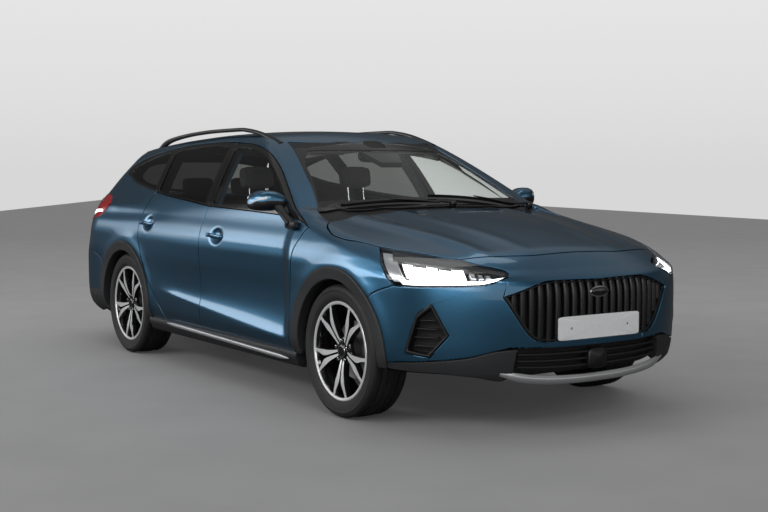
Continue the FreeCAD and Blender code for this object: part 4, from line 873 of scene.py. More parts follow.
# A number plate that fills its node's box, with two screw heads on its face.
def plateParts(node, outward):
    low, high = (np.array(v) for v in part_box(node))
    middle, half = (low + high) / 2, (high - low) / 2
    axes = ((outward, 0, 0), (0, 0, 1), (0, outward, 0))
    face = pillow(middle, axes, (half[0], half[2], half[1]), 16.0, .2, 48, 7, 0)
    screws = [pillow(middle + (x, outward * (half[1] + .0005), 0), axes, (.006, .006, .0016), 2.0, 1.0, 12,
                     5, 1)
              for x in (-.18, .18)]
    return [face, *screws]


piece("frontPlateFace", plateParts("front_plate", -1), "car", [plateWhite, chrome], ["front_plate"])

# Headlamps: a sunk housing, five lit cells, a bright line along the foot, and a clear cover.
lampValues = {"depth": .055, "cells": 5, "cellFrom": .34, "cellTo": .83, "cellLow": .24, "cellHigh": .62,
              "lineFrom": .03, "lineTo": .9}
lampCorners = (lines["lampLow"], lines["lampTop"] + lines["bonnetSide"][1:4],
               [(.48, -2.248, .743), (.468, -2.227, .764)], lines["lampRear"])
lampSheet = sheetBetween(*lampCorners, 121, 41)


# A part of the headlamp between two shares of its length and two of its height: the places are read
# from the lamp's sheet by weighting the four nearest, then put on the skin at the given lift.
def lampPart(u0, u1, v0, v1, lift, depth, mark, radius=.002):
    u, v = np.linspace(u0, u1, 24)[:, None], np.linspace(v0, v1, 8)[None]
    i, j = u * 120 + 0 * v, v * 40
    i0, j0 = np.clip(i.astype(int), 0, 119), np.clip(j.astype(int), 0, 39)
    a, b = (i - i0)[..., None], (j - j0)[..., None]
    rows = ((1 - a) * (1 - b) * lampSheet[i0, j0] + a * (1 - b) * lampSheet[i0 + 1, j0]
            + (1 - a) * b * lampSheet[i0, j0 + 1] + a * b * lampSheet[i0 + 1, j0 + 1])
    rows = toSkin(rows, lift)
    return marked(edged(rows, unit(slope(rows)), (0, 0, 0, 0), radius, depth), mark)


cover = skinPanel(*lampCorners, 60, 16, (lip, lip, lip, lip), -.0005, .002, .006)
housing = lampPart(-0.0, 1.0, 0.0, 1.0, -lampValues["depth"], .002, 1)
cellEdges = np.linspace(lampValues["cellFrom"], lampValues["cellTo"], lampValues["cells"] + 1)
lampParts = [housing, lampPart(.02, .9, .66, .97, -.014, .03, 1),
             lampPart(.86, .985, .1, .9, -.02, .02, 2)]
for k, (a, b) in enumerate(zip(cellEdges[:-1], cellEdges[1:])):
    high = lampValues["cellHigh"] - .05 * (k % 2)
    lampParts.append(lampPart(a + .006, b - .006, lampValues["cellLow"], high, -.022, .02, 3, .004))
for a in (.14, .2, .26):
    lampParts.append(lampPart(a, a + .045, .3, .56, -.024, .02, 2, .004))
lampParts.append(lampPart(lampValues["lineFrom"], lampValues["lineTo"], .05, .18, -.01, .012, 3, .003))
piece("headlampInner", bothSides(lampParts), "car", [glossBlack, satinBlack, silverTrim, lampLight],
      ["headlamps"])
piece("headlampCovers", bothSides([cover]), "car", lampGlass, ())

# Fog pods: a dark bowl with slats in the opening of each cheek, and a raised rim.
podIn = [(.812, -2.0, .555), (.779, -2.055, .605), (.735, -2.108, .478), (.778, -2.035, .388),
         (.828, -1.95, .402)]
podRim = skinRing(cornerRuns(podOut), cornerRuns(podIn), (8, 14, 10, 8, 12), 4, (.001, 0.0), .003, .004, .04)
podBack = patch([(.7, -2.12, .36), (.86, -1.92, .37)], [(.76, -2.09, .64), (.84, -1.98, .6)], 14, 14,
                lift=-.045, radius=.001, depth=.002)
slats = []
for z in (.425, .465, .505, .545):
    x = np.linspace(.742, .822, 7)
    line = toSkin(np.stack([x, np.interp(x, [.7, .86], [-2.12, -1.92]), np.full(7, z)], -1), -.024)
    slats.append(swept(line, roundLoop(.012, .004, 12)))
piece("fogPods", bothSides([podRim, marked(podBack, 1), *slats]), "car", [satinBlack, deepBlack], ())

# The skid blade under the nose: its two ends rise, go back and grow thin along a smooth step.
blade = {"tall": .021, "deep": .013}
x = np.linspace(-.545, .545, 61)
rise = ramp(.4, .545, np.abs(x))
path = toSkin(np.stack([x, np.full(61, -2.3), .253 + .006 * rise], -1), .004)
path[:, 1] += .01 * rise
shape = np.array([(-blade["deep"], .004), (-.004, blade["tall"]), (.006, blade["tall"]), (.012, .006),
                  (.01, -.01), (.002, -blade["tall"]), (-.01, -blade["tall"] * .8)])
shares = np.array([[.12], [.5], [.88]])      # three points on each side, so that the corners stay crisp
shape = np.concatenate([shape[i] + (shape[(i + 1) % 7] - shape[i]) * shares for i in range(7)])
piece("skidBlade", [swept(path, shape[::-1], scale=1 - .45 * rise ** 2)], "car", silverTrim,
      ["skid_blade"])
print("stage: front made")

# Wheels
wheelValues = {"track": .79, "face": .094, "spokes": 5, "firstSpoke": -90.0, "discRadius": .148,
               "blocks": 62, "sipeDeep": .0045, "grooveDeep": .0065}


# The tyre's profile, (outwards, radius): rounded walls with two fine ribs and a tread with four grooves.
def tyreProfile():
    wall = [(.082, .249), (.0925, .252), (.1, .262), (.101, .2665), (.103, .268), (.1055, .279),
            (.1066, .292),
            (.1058, .3035), (.1068, .3055), (.1056, .3075), (.103, .316), (.0985, .3235), (.0925, .329),
            (.085, .3322)]
    tread = [(.078, .3336)]
    for middle in (.054, .019, -.019, -.054):
        deep = .336 - .2 * abs(middle) ** 2 / .1 - wheelValues["grooveDeep"]
        top = deep + wheelValues["grooveDeep"]
        tread += [(middle + .0055, top), (middle + .004, deep), (middle - .004, deep), (middle - .0055, top)]
        if middle > -.05:
            tread += [(middle - .0175, top + .0002)]
    tread += [(-.078, .3336)]
    half = [(-x, r) for x, r in wall[::-1]]
    return wall + tread + half + [(-.075, .24), (.075, .24)]


# Sideways sipes: the tread's points go in wherever the angle, plus a lean across the tread, meets the end
# of a block.
def treadWave(angle, column):
    profile = np.array(tyreProfile())
    across, radius = profile[column, 0], profile[column, 1]
    phase = (angle * wheelValues["blocks"] / (2 * np.pi) + 3.2 * across + 6 * across * across) % 1.0
    sipe = (phase < .26) & (radius > .3315) & (np.abs(across) < .0845) & (np.abs(across) > .022)
    shoulder = (phase < .26) & (np.abs(across) > .083) & (radius > .3275)
    return -wheelValues["sipeDeep"] * sipe - .5 * wheelValues["sipeDeep"] * shoulder


# The rim's closed profile, (outwards, radius): the outer lip, then the barrel's back and front.
def rimProfile():
    face = wheelValues["face"]
    lip = [(face - .006, .2335), (face - .001, .236), (face + .0005, .2385), (face, .2475),
           (face - .003, .2505),
           (face - .011, .249)]
    back = [(face - .02, .238), (.01, .23), (-.06, .234), (-.088, .249), (-.097, .25), (-.1, .247),
            (-.094, .238), (-.07, .223), (.01, .219), (face - .03, .223), (face - .013, .23)]
    return lip + back


# One arm of a spoke in the wheel's plane: along it the distance from the hub, its offset to one side of the
# spoke's middle line and its width change by tables. The face is machined and the flanks are black.
spokeArm = {"along": [.046, .075, .105, .135, .152, .17, .195, .218, .2385],
            "offset": [.0105, .0125, .0155, .02, .0245, .0315, .043, .0525, .059],
            "width": [.01, .015, .0205, .027, .03, .0265, .019, .017, .028],
            "sink": [.018, .012, .007, .003, .001, 0.0, 0.0, .001, .001]}


# The sections of one arm: at each distance a six-cornered outline that widens from the face to the back,
# square to the arm's curve and turned to the spoke's angle.
def armLoops(sign, angle):
    s = np.linspace(0, 1, 34)
    steps = np.linspace(0, 1, len(spokeArm["along"]))
    u, v, w, sink = (through(steps, spokeArm[k], s) for k in ("along", "offset", "width", "sink"))
    v = v * sign
    across = unit(np.stack([-np.gradient(v), np.gradient(u)], -1))
    face = wheelValues["face"] - .002 - sink
    deep = .034 - .01 * s
    rings = []
    for side, drop in ((-.5, 0), (.5, 0), (.5, .12), (.66, 1), (-.66, 1), (-.5, .12)):
        reach = w * side + np.sign(side) * (.0012 if drop else 0)
        p, q = u + across[:, 0] * reach, v + across[:, 1] * reach
        rings.append(np.stack([face - drop * deep, p * math.cos(angle) - q * math.sin(angle),
                               p * math.sin(angle) + q * math.cos(angle)], -1))
    return np.stack(rings, 1)


# The alloy wheel round the x axis: rim, five spokes of two arms with a black floor between the arms as
# painted shade, nuts, hub, disc and bell.
def wheelParts():
    profile = rimProfile()
    rim = turned(profile, (0, 0, 0), 120)
    isLip = np.array([1 if k < 4 else 0 for k in range(len(profile) - 1)])
    parts = [(rim[0], rim[1], None, np.concatenate([np.tile(1 - isLip, 120), np.ones(120, int)]))]
    for k in range(wheelValues["spokes"]):
        angle = math.radians(wheelValues["firstSpoke"] + 72 * k)
        for sign in (-1, 1):
            loops = armLoops(sign, angle)
            points, faces, _, marks = lofted(loops)
            marks = np.ones(len(faces), int)
            marks[:len(loops) - 1] = 0
            parts.append((points, faces, None, marks))
        # painted shade: a black floor set in behind the face where shadow falls between the two arms
        shadeWeb = np.array([.05, .1, .15])      # the black floor between the two arms
        floor = [np.stack([np.full(3, wheelValues["face"] - drop),
                           shadeWeb * math.cos(angle) - off * math.sin(angle),
                           shadeWeb * math.sin(angle) + off * math.cos(angle)], -1)
                 for off, drop in ((-.016, .034), (-.016, .022), (.016, .022), (.016, .034))]
        parts.append(lofted(np.stack(floor, 1), 1))
        nut = math.radians(90 + 72 * k)
        place = (wheelValues["face"] - .02, .053 * math.cos(nut), .053 * math.sin(nut))
        parts.append(pillow(place, lookAside, (.0085, .0085, .012), 2.6, .35, 12, 7, 2))
    face = wheelValues["face"]
    hub = [(face - .045, .074), (face - .03, .072), (face - .026, .066), (face - .025, .04),
           (face - .016, .037),
           (face - .014, .033)]
    centre = [(face - .014, .033), (face - .012, .03), (face - .0105, .02), (face - .01, .0005)]
    parts.append(turned(hub + centre + [(face - .045, .0005)], (0, 0, 0), 60, 1))
    parts.append(turned([(face - .0135, .0315), (face - .0115, .0305), (face - .0118, .0275),
                         (face - .0135, .027)],
                        (0, 0, 0), 60, 2))
    disc, edge = wheelValues["discRadius"], .004
    parts.append(turned([(edge, .07), (edge, disc - .001), (edge - .001, disc), (-.019, disc),
                         (-.02, disc - .001),
                         (-.02, .07)], (0, 0, 0), 90, 3))
    parts.append(turned([(.05, .001), (.05, .066), (.046, .071), (-.019, .072), (-.019, .001)], (0, 0, 0),
                        60, 4))
    return parts


# A wheel's part at its own axle.
def placed(part, side, centre):
    points, faces, normals, marks = part
    turn = np.array([side, side, 1.0])          # half a turn for the right wheels keeps the faces outward
    return points * turn + centre, faces, normals, marks


tyreShape = turned(tyreProfile(), (0, 0, 0), wheelValues["blocks"] * 4, wave=treadWave)
wheelShapes = wheelParts()
for place, side, axle in (("front_left", 1, "frontAxle"), ("front_right", -1, "frontAxle"),
                          ("rear_left", 1, "rearAxle"), ("rear_right", -1, "rearAxle")):
    centre = np.array([side * wheelValues["track"], form[axle], form["axleHeight"]])
    piece(f"tyreRubber.{place}", [placed(tyreShape, side, centre)], f"wheel_{place}", rubber,
          [f"tyre_{place}"])
    piece(f"wheelAlloy.{place}", [placed(p, side, centre) for p in wheelShapes], f"wheel_{place}",
          [machined, glossBlack, chrome, brakeDisc, castIron], [f"rim_{place}"])
print("stage: wheels turned")

# Arch trims and sill trims
trimValues = {"low": .362, "high": .4265, "proud": .01}
archParts = []
for axle, first, last in (("frontAxle", -12.0, 186.0), ("rearAxle", -14.0, 193.0)):
    inner, outer = (archLine(axle, trimValues[k], first, last, .9, 25) for k in ("low", "high"))
    archParts.append(patch(inner, outer, 120, 9, (0, 0, 0, 0), trimValues["proud"], .006, .045))
piece("archCladding", bothSides(archParts), "car", cladding, ["arch_trims"])

sillShape = np.array([(-.055, .092), (-.008, .092), (.004, .084), (.008, .07), (.004, .052), (-.004, .04),
                      (-.012, .018), (-.03, .004), (-.06, 0.0)])
sillPath = np.stack([np.full(60, .893), np.linspace(-1.015, .895, 60), np.full(60, .197)], -1)
stripShape = roundLoop(.0075, .0115, 20, 3.0)
y = np.linspace(-.942, .617, 60)
stripPath = np.stack([np.full(60, .9015), y, np.interp(y, [-.942, .617], [.24, .27])], -1)
narrow = np.clip(np.minimum(y + .942, .617 - y) / .1, .05, 1) ** .5
piece("sillCladding", bothSides([swept(sillPath, sillShape[::-1]),
                                 swept(stripPath, stripShape, scale=narrow, mark=1)]),
      "car", [cladding, silverTrim], ["sill_trims"])
print("stage: lower trims made")

# The mirror's sections along x: half depth, half height and centre; the top half is paint, the lower black.
mirrorValues = {"x": [.806, .82, .845, .88, .92, .958, .978, .987, .9905],
                "deep": [.04, .055, .066, .073, .073, .063, .046, .028, .006],
                "tall": [.024, .037, .047, .054, .056, .049, .035, .019, .004],
                "y": [-.722, -.72, -.714, -.708, -.7, -.688, -.678, -.67, -.664],
                "z": [1.06, 1.064, 1.068, 1.071, 1.071, 1.067, 1.061, 1.055, 1.051], "count": 56,
                "stations": 30}


# Rounded sections along x, closer together near both ends by half of one less the cosine.
def mirrorHousing():
    values = mirrorValues
    t = (1 - np.cos(np.linspace(0, np.pi, values["stations"]))) / 2
    steps = np.linspace(0, 1, len(values["x"]))
    x, deep, tall, y, z = (through(steps, values[k], t) for k in ("x", "deep", "tall", "y", "z"))
    loop = roundLoop(1, 1, values["count"], 2.7)
    loops = np.stack([np.broadcast_to(x[:, None], (len(t), len(loop))),
                      y[:, None] + deep[:, None] * loop[None, :, 0],
                      z[:, None] + tall[:, None] * loop[None, :, 1]], -1)
    points, faces, _, marks = lofted(loops)
    half = values["count"] // 2
    kinds = np.zeros((values["count"], values["stations"] - 1), int)
    kinds[half:] = 1
    kinds[half - 3:half - 1, values["stations"] // 2:] = 2       # the side indicator on the front, outer half
    marks[:kinds.size] = kinds.ravel()
    return points, faces, None, marks


mirrorParts = [
    mirrorHousing(),
    pillow((.915, -.637, 1.071), lookAhead, (.063, .041, .006), 3.4, .25, 40, 7, 3),
    pillow((.884, -.948, .948), lookAside, (.052, .022, .018), 4, .3, 28, 9, 1),
    swept([(.882, -.945, .955), (.88, -.905, .972), (.872, -.85, .995), (.866, -.8, 1.022),
           (.864, -.755, 1.048)],
          roundLoop(.016, .026, 28, 2.8), up=(1, 0, 0), scale=[1.05, .95, .9, .95, 1.1], mark=1),
]


# A door handle: a bar that bows out by one less the fourth power of the way along, and its fixed end.
def handleParts(place):
    y0, z0 = place
    t = np.linspace(-1, 1, 40)
    ends = toSkin(np.array([[.905, y0 - .079, z0 - .004], [.905, y0 + .079, z0 + .004]]))
    path = ends[0] + (t[:, None] + 1) / 2 * (ends[1] - ends[0])
    path = path + (.014 * (1 - t**4) + .001)[:, None] * np.array([1, 0, .1])
    bar = swept(path, roundLoop(.0135, .0065, 26, 2.4), up=(1, 0, 0), scale=1.05 - .25 * t**4)
    end = pillow(toSkin(np.array([[.905, y0 + .09, z0 + .005]]))[0] + (.006, 0, 0),
                 lookAside, (.014, .0125, .011), 2.4, .5, 24, 9)
    return [bar, end]


for side, turn in bothTurns:
    piece(f"mirrorHousing.{side}", [turn(p) for p in mirrorParts], f"front_door_{side}",
          [paint, satinBlack, plateWhite, chrome], [f"mirror_{side}"])
    for end, place in (("front", form["cups"][0]), ("rear", form["cups"][1])):
        piece(f"{end}DoorHandle.{side}", [turn(p) for p in handleParts(place)], f"{end}_door_{side}", [paint])

railValues = {"y": [-.25, -.17, -.09, 0, .14, .278, .6, .9, 1.2, 1.33, 1.41, 1.47, 1.488],
              "top": [1.397, 1.422, 1.443, 1.464, 1.486, 1.496, 1.494, 1.484, 1.462, 1.445, 1.424, 1.396,
                      1.384],
              "low": [1.38, 1.392, 1.414, 1.44, 1.462, 1.472, 1.47, 1.46, 1.435, 1.414, 1.388, 1.356, 1.345],
              "middle": .549, "half": .0165}
t = np.linspace(0, 1, 90)
steps = np.linspace(0, 1, len(railValues["y"]))
y, top, low = (through(steps, railValues[k], t) for k in ("y", "top", "low"))
loop = roundLoop(1, 1, 20, 3.2)
wide = railValues["half"] * (1 + .25 * (np.abs(2 * t - 1) ** 8))
rail = np.stack([railValues["middle"] + wide[:, None] * loop[None, :, 0],
                 np.broadcast_to(y[:, None], (90, 20)),
                 (top + low)[:, None] / 2 + (top - low)[:, None] / 2 * loop[None, :, 1]], -1)
piece("roofRails", bothSides([lofted(rail)]), "car", satinBlack, ["roof_rails"])


# A path on the screen from (across, distance up the slope) places, lifted off the glass.
def onScreen(places, lift):
    places = np.array(places)
    t = np.linspace(0, 1, 40)
    x, s = (through(np.linspace(0, 1, len(places)), places[:, k], t) for k in (0, 1))
    return toSkin(np.stack([x, -1.1 + .8874 * s, 1.0 + .461 * s], -1), lift)


wiperParts = []
for blade, arm in (([(.575, .088), (.3, .118), (-.03, .137)], [(.64, .035), (.5, .078), (.28, .124)]),
                   ([(-.02, .075), (-.3, .103), (-.6, .122)], [(.075, .02), (-.08, .06), (-.3, .108)])):
    wiperParts.append(swept(onScreen(blade, .01), roundLoop(.0035, .009, 12, 2.4), up=(0, -.5, .9)))
    wiperParts.append(swept(onScreen(arm, .022), roundLoop(.009, .0045, 14, 3.0), up=(0, -.5, .9),
                            scale=np.linspace(1.35, .55, 40)))
    root = onScreen(arm, .01)[0]
    wiperParts.append(pillow(root, ((1, 0, 0), (0, .88, .47), (0, -.47, .88)), (.019, .019, .02), 2.2, .4,
                             24, 9))
piece("wiperArms", wiperParts, "car", satinBlack, ["wipers"])

cowlPanel = patch(wholeLine([(0, -1.232, 1.02), (.42, -1.225, 1.01), (.8, -1.215, .985)]),
                  wholeLine([(0, -1.045, 1.04), (.4, -1.02, 1.037), (.752, -.975, 1.022)]),
                  100, 24, lift=-.014, radius=.002)
piece("cowlCover", [cowlPanel], "car", satinBlack)
print("stage: mirrors, handles, rails and wipers made")

# The rear end
gateValues = {"glassLift": -.004, "lampLift": .003}
gateLow = [(0, 2.335, .697), (.3, 2.318, .697), (.56, 2.27, .697)]
gateBelt = [(0, 2.19, 1.032), (.35, 2.18, 1.032), (.648, 2.125, 1.032)]
gateShell = skinPanel(wholeLine(gateLow), wholeLine(gateBelt), flipX(lines["gateSide"][:3] + [gateBelt[-1]]),
                      lines["gateSide"][:3] + [gateBelt[-1]], 90, 50, (.002, .002, .0025, None),
                      thick=panelValues["gateThick"])
gateFrame = [wholeLine(gateBelt),
             [gateBelt[-1], (.61, 2.05, 1.17), (.562, 1.965, 1.3), (.545, 1.9, 1.345), (.49, 1.735, 1.358)],
             [*wholeLine(lines["gateTop"])[::-1]]]
gateFrame.append(flipX(gateFrame[1])[::-1])
glassHole = [[(-.548, 2.14, 1.045), (0, 2.19, 1.045), (.548, 2.14, 1.045)],
             [(.548, 2.14, 1.045), (.515, 2.06, 1.18), (.462, 1.985, 1.312)],
             [(.462, 1.985, 1.312), (0, 2.02, 1.326), (-.462, 1.985, 1.312)]]
glassHole.append(flipX(glassHole[1])[::-1])
gateRing = skinRing(gateFrame, glassHole, (60, 40, 60, 40), 7, (.002, 0), 0.0, .003, .028)
piece("gatePanel", [gateShell, gateRing], "tailgate", [paint, dashSoft], ["tailgate"])

paneRuns = widened(glassHole, .008)
rearPane = skinPanel(paneRuns[0], paneRuns[2][::-1], paneRuns[3][::-1], paneRuns[1], 60, 30, (0, 0, 0, 0),
                     gateValues["glassLift"], .001, .004)
piece("rearPane", [rearPane], "tailgate", tintedGlass, ["tailgate_glass"])

# The spoiler: at each place across, a closed profile from the roof's edge to a lip that curves forward as
# it goes outwards.
x = np.linspace(-.492, .492, 61)
pull = 1 - .55 * (np.abs(x) / .492) ** 3
profile = np.array([(1.785, .004), (1.84, .002), (1.9, -.012), (1.95, -.029), (1.982, -.041), (1.99, -.046),
                    (1.982, -.052), (1.93, -.058), (1.86, -.056), (1.8, -.03)])
crown = 1.416 - .085 * x * x
bow = -.28 * x * x
spoiler = np.stack([np.broadcast_to(x[:, None], (61, 10)),
                    1.785 + (profile[None, :, 0] - 1.785) * pull[:, None] + bow[:, None],
                    crown[:, None] - .02 + profile[None, :, 1] * (.6 + .4 * pull[:, None])], -1)
marks = np.zeros((10, 60), int)
marks[5:9] = 1
spoilerPart = lofted(spoiler)
spoilerPart = (*spoilerPart[:3], np.concatenate([marks.ravel(), np.zeros(20, int)]))
handle = pillow((0, 2.302, .888), lookAhead, (.26, .012, .012), 5, .3, 40, 7, 2)
hollow = pillow((0, 2.296, .862), lookAhead, (.27, .022, .01), 5, .3, 40, 7, 1)
wiperPath = toSkin(np.array([(0, 2.17, 1.052), (-.12, 2.16, 1.064), (-.24, 2.15, 1.074),
                             (-.34, 2.14, 1.08)]), .014)
wiperRear = [swept(wiperPath, roundLoop(.005, .008, 14, 2.6), scale=[1.5, 1.2, .9, .6], mark=1),
             pillow(toSkin(np.array([(0, 2.18, 1.052)]), .006)[0], ((1, 0, 0), (0, .35, .93), (0, .93, -.35)),
                    (.024, .02, .014), 2.3, .5, 24, 9, 1)]
piece("gateTrim", [spoilerPart, handle, hollow, *wiperRear], "tailgate", [paint, satinBlack, glossBlack])
piece("rearPlateFace", plateParts("rear_plate", 1), "tailgate", [plateWhite, satinBlack], ["rear_plate"])

lampShape = skinPanel(lines["tailLampLow"], lines["tailLampTop"], [(.845, 1.634, .994), (.838, 1.642, 1.002)],
                      [(.642, 2.236, .85), (.66, 2.2, .94), (.657, 2.128, 1.035)], 60, 22,
                      (.001, .002, .002, .002),
                      gateValues["lampLift"], .003, .03)


# A thin strip on the skin, as wide as its foot and its top line, with the place of its material.
def strip(low, top, count, mark, lift=.006, radius=.001, depth=.004):
    return marked(patch(low, top, count, 5, lift=lift, radius=radius, depth=depth), mark)


lampBars = [strip([(.862, 1.745, .935), (.8, 2.03, .9), (.665, 2.19, .895)],
                  [(.845, 1.745, .95), (.78, 2.03, .915), (.665, 2.19, .91)], 40, 1),
            strip([(.8, 1.82, .995), (.75, 1.98, .99), (.66, 2.14, .985)],
                  [(.795, 1.82, 1.01), (.745, 1.98, 1.008), (.66, 2.135, 1.003)], 40, 2)]
piece("tailLampCovers", bothSides([lampShape, *lampBars]), "car", [redLens, lampLight, lampGlass],
      ["tail_lamps"])
gateLamp = skinPanel([(.42, 2.25, .872), (.638, 2.232, .862)], [(.43, 2.21, .975), (.65, 2.14, 1.022)],
                     [(.42, 2.25, .872), (.43, 2.21, .975)],
                     [(.638, 2.232, .862), (.654, 2.2, .94), (.65, 2.14, 1.022)],
                     30, 22, (.001, .003, .001, .001), gateValues["lampLift"], .003, .02)
gateBar = strip([(.45, 2.25, .905), (.638, 2.21, .897)], [(.45, 2.24, .918), (.638, 2.2, .911)], 24, 1)
piece("gateLampCovers", bothSides([gateLamp, gateBar]), "tailgate", [redLens, lampLight], ["tailgate_lamps"])

bumperTop = wholeLine([(0, 2.342, .69), *lines["rearBumperTop"][::-1]])
bumperLine = [(0, 2.345, .4), (.5, 2.31, .4), (.75, 2.12, .4), (.9, 1.675, .4)]
archUp = archLine("rearAxle", .4, 9.2, 32)
archLow = archLine("rearAxle", .4, -15, 9.2)
upper = skinPanel(wholeLine(bumperLine), bumperTop, flipX(archUp), archUp, 130, 26, (None, None, .001, .002),
                  depth=.02)
lower = skinPanel(wholeLine([(0, 2.29, .232), (.5, 2.24, .232), (.72, 2.05, .232), (.85, 1.666, .2325)]),
                  wholeLine(bumperLine), flipX(archLow), archLow, 130, 18, (None, None, None, .001),
                  depth=.03)
plank = marked(patch(wholeLine([(0, 2.29, .25), (.25, 2.28, .25), (.42, 2.26, .262)]),
                     wholeLine([(0, 2.29, .3), (.25, 2.28, .3), (.4, 2.26, .295)]),
                     60, 9, lift=.008, radius=.003, depth=.012), 2)
glow = [strip([(.58, 2.2, .345), (.76, 2.08, .345)], [(.58, 2.2, .372), (.76, 2.08, .372)], 24, 3, .003,
              .002, .008)]
piece("rearBumperSkin", [upper, marked(lower, 1), plank, *bothSides(glow)], "car",
      [paint, cladding, silverTrim, redLens], ["rear_bumper"])

flapRuns = [(.905, 1.452, .807), (.905, 1.598, .807)], [(.89, 1.452, .953), (.89, 1.598, .953)]
flapPanel = patch(*flapRuns, 30, 30, (.0025,) * 4, lift=.0018, radius=.002, thick=.008)
flapBed = patch(*flapRuns, 12, 12, lift=.0006, radius=.0003, depth=.001)
piece("fuelFlapSkin", [flapPanel], "fuel_flap", [paint, satinBlack], ["fuel_flap"])
piece("fuelFlapBed", [flapBed, turned([(0, .001), (0, .03), (.01, .034), (-.004, .034), (-.004, .001)],
                                      toSkin(np.array([[.9, 1.525, .88]]), -.006)[0], 40)], "car", satinBlack)
print("stage: rear end made")

# A pad: a rounded box whose wings rise beside the middle. Each place moves along the pad's own third axis by
# the wing's height times a smooth step from the middle's edge, and the middle is crowned by a cosine.
def padPart(centre, lean, sizes, wing=0.0, crown=.012, power=5.0, count=56, stations=40):
    c, s = math.cos(lean), math.sin(lean)
    along, out = np.array([0, s, c]), np.array([0, -c, s])
    points, faces, normals, marks = pillow((0, 0, 0), lookAside, (1, 1, 1), power, .34,
                                           count, stations)
    x, thick, high = points[:, 0], points[:, 1], points[:, 2]
    front = np.clip(thick, 0, 1)
    rise = wing * ramp(.6, .92, np.abs(x)) * front * (1 - .5 * high ** 4)
    crownRise = crown * np.cos(np.pi * high / 2) * np.cos(np.pi * np.clip(x, -1, 1) / 2) * thick
    place = (np.asarray(centre) + x[:, None] * sizes[0] * np.array([1, 0, 0])
             + (thick * sizes[1] + rise + crownRise)[:, None] * out + (high * sizes[2])[:, None] * along)
    return place, faces, normals, marks


clothValues = {"pressure": 4.0, "frames": 20, "seamDeep": .006, "seamWide": .007}


# Cloth blown up from inside: remeshed, pressed outward for twenty frames, its travel capped, and its sewn
# lines then drawn in as grooves.
def stuffed(name, part, body, material, cap, seams=(), size=.01, replaces=()):
    thing = piece(name, [part], body, material, replaces)
    remesh = thing.modifiers.new("even", "REMESH")
    remesh.mode, remesh.voxel_size, remesh.use_smooth_shade = "VOXEL", size, True
    graph = bpy.context.evaluated_depsgraph_get()
    mesh = bpy.data.meshes.new_from_object(thing.evaluated_get(graph))
    thing.modifiers.clear()
    thing.data = mesh
    start = np.zeros(len(mesh.vertices) * 3)
    mesh.vertices.foreach_get("co", start)
    start = start.reshape(-1, 3)
    end = start
    cloth = thing.modifiers.new("air", "CLOTH")
    cloth.settings.use_pressure = True
    cloth.settings.uniform_pressure_force = clothValues["pressure"]
    cloth.settings.effector_weights.gravity = 0.0
    cloth.settings.quality = 4
    cloth.collision_settings.use_collision = False
    cloth.point_cache.frame_start, cloth.point_cache.frame_end = 1, clothValues["frames"]
    for frameNumber in range(1, clothValues["frames"] + 1):
        bpy.context.scene.frame_set(frameNumber)
    blown = thing.evaluated_get(bpy.context.evaluated_depsgraph_get()).to_mesh()
    end = np.zeros(len(start) * 3)
    blown.vertices.foreach_get("co", end)
    end = end.reshape(-1, 3)
    thing.modifiers.clear()
    bpy.context.scene.frame_set(1)
    travel = end - start
    length = np.linalg.norm(travel, axis=1, keepdims=True)
    end = start + travel * np.minimum(1, cap / np.maximum(length, 1e-9))
    way = np.zeros(len(start) * 3)
    mesh.vertices.foreach_get("normal", way)
    for seam in seams:
        groove = clothValues["seamDeep"] * np.exp(-(seam(end) / clothValues["seamWide"]) ** 2)
        end = end - groove[:, None] * way.reshape(-1, 3)
    mesh.vertices.foreach_set("co", end.ravel())
    mesh.update()
    thing.modifiers.new("smooth", "SUBSURF").levels = 1
    thing.modifiers["smooth"].render_levels = 1
    return thing


seatValues = {"x": .37, "cushion": (-.085, .452), "cushionSize": (.228, .062, .232), "cushionLean": 1.655,
              "back": (.268, .735), "backSize": (.222, .052, .3), "backLean": .3,
              "head": (.397, 1.186), "headSize": (.112, .038, .07), "swell": .01}


# The distance to the nearer of two seams that lie half a width to each side of the pad's middle.
def acrossSeam(middle, half):
    return lambda p: np.abs(np.abs(p[:, 0] - middle) - half)


# The distance to the nearest of the level seams, one step apart along the pad, within its middle field.
def levelSeam(centre, lean, step, reach, middle, half):
    def away(p):
        s = (p[:, 1] - centre[0]) * math.sin(lean) + (p[:, 2] - centre[1]) * math.cos(lean)
        inside = (np.abs(p[:, 0] - middle) < half) & (np.abs(s) < reach)
        return np.where(inside, np.abs((s / step) % 1 - .5) * step, 1.0)
    return away


for side, sign in (("left", 1), ("right", -1)):
    x = sign * seatValues["x"]
    y, z = seatValues["cushion"]
    stuffed(f"seatCushion.{side}", padPart((x, y, z), seatValues["cushionLean"], seatValues["cushionSize"],
                                           .022),
            "car", seatCloth, seatValues["swell"],
            [acrossSeam(x, .135), levelSeam((y, z), seatValues["cushionLean"], .11, .19, x, .135)],
            replaces=[f"seat_{side}"])
    y, z = seatValues["back"]
    stuffed(f"seatBack.{side}", padPart((x, y, z), seatValues["backLean"], seatValues["backSize"], .03),
            "car", seatCloth, seatValues["swell"],
            [acrossSeam(x, .13), levelSeam((y, z), seatValues["backLean"], .11, .24, x, .13)])
    y, z = seatValues["head"]
    stuffed(f"seatHead.{side}", padPart((x, y, z), .18, seatValues["headSize"], 0, .006, 3.2, 40, 30),
            "car", seatCloth, .008, [acrossSeam(x, .085)], .007)
    legs = [swept([(x + at, .365, 1.0), (x + at, .378, 1.05), (x + at, .388, 1.13)],
                  roundLoop(.0062, .0062, 16, 2.0),
                  up=(0, 1, 0)) for at in (-.06, .06)]
    plinth = pillow((x, -.08, .318), lookUp, (.185, .2, .07), 6, .2, 40, 9, 1)
    piece(f"seatFrame.{side}", [*legs, plinth], "car", [chrome, satinBlack])
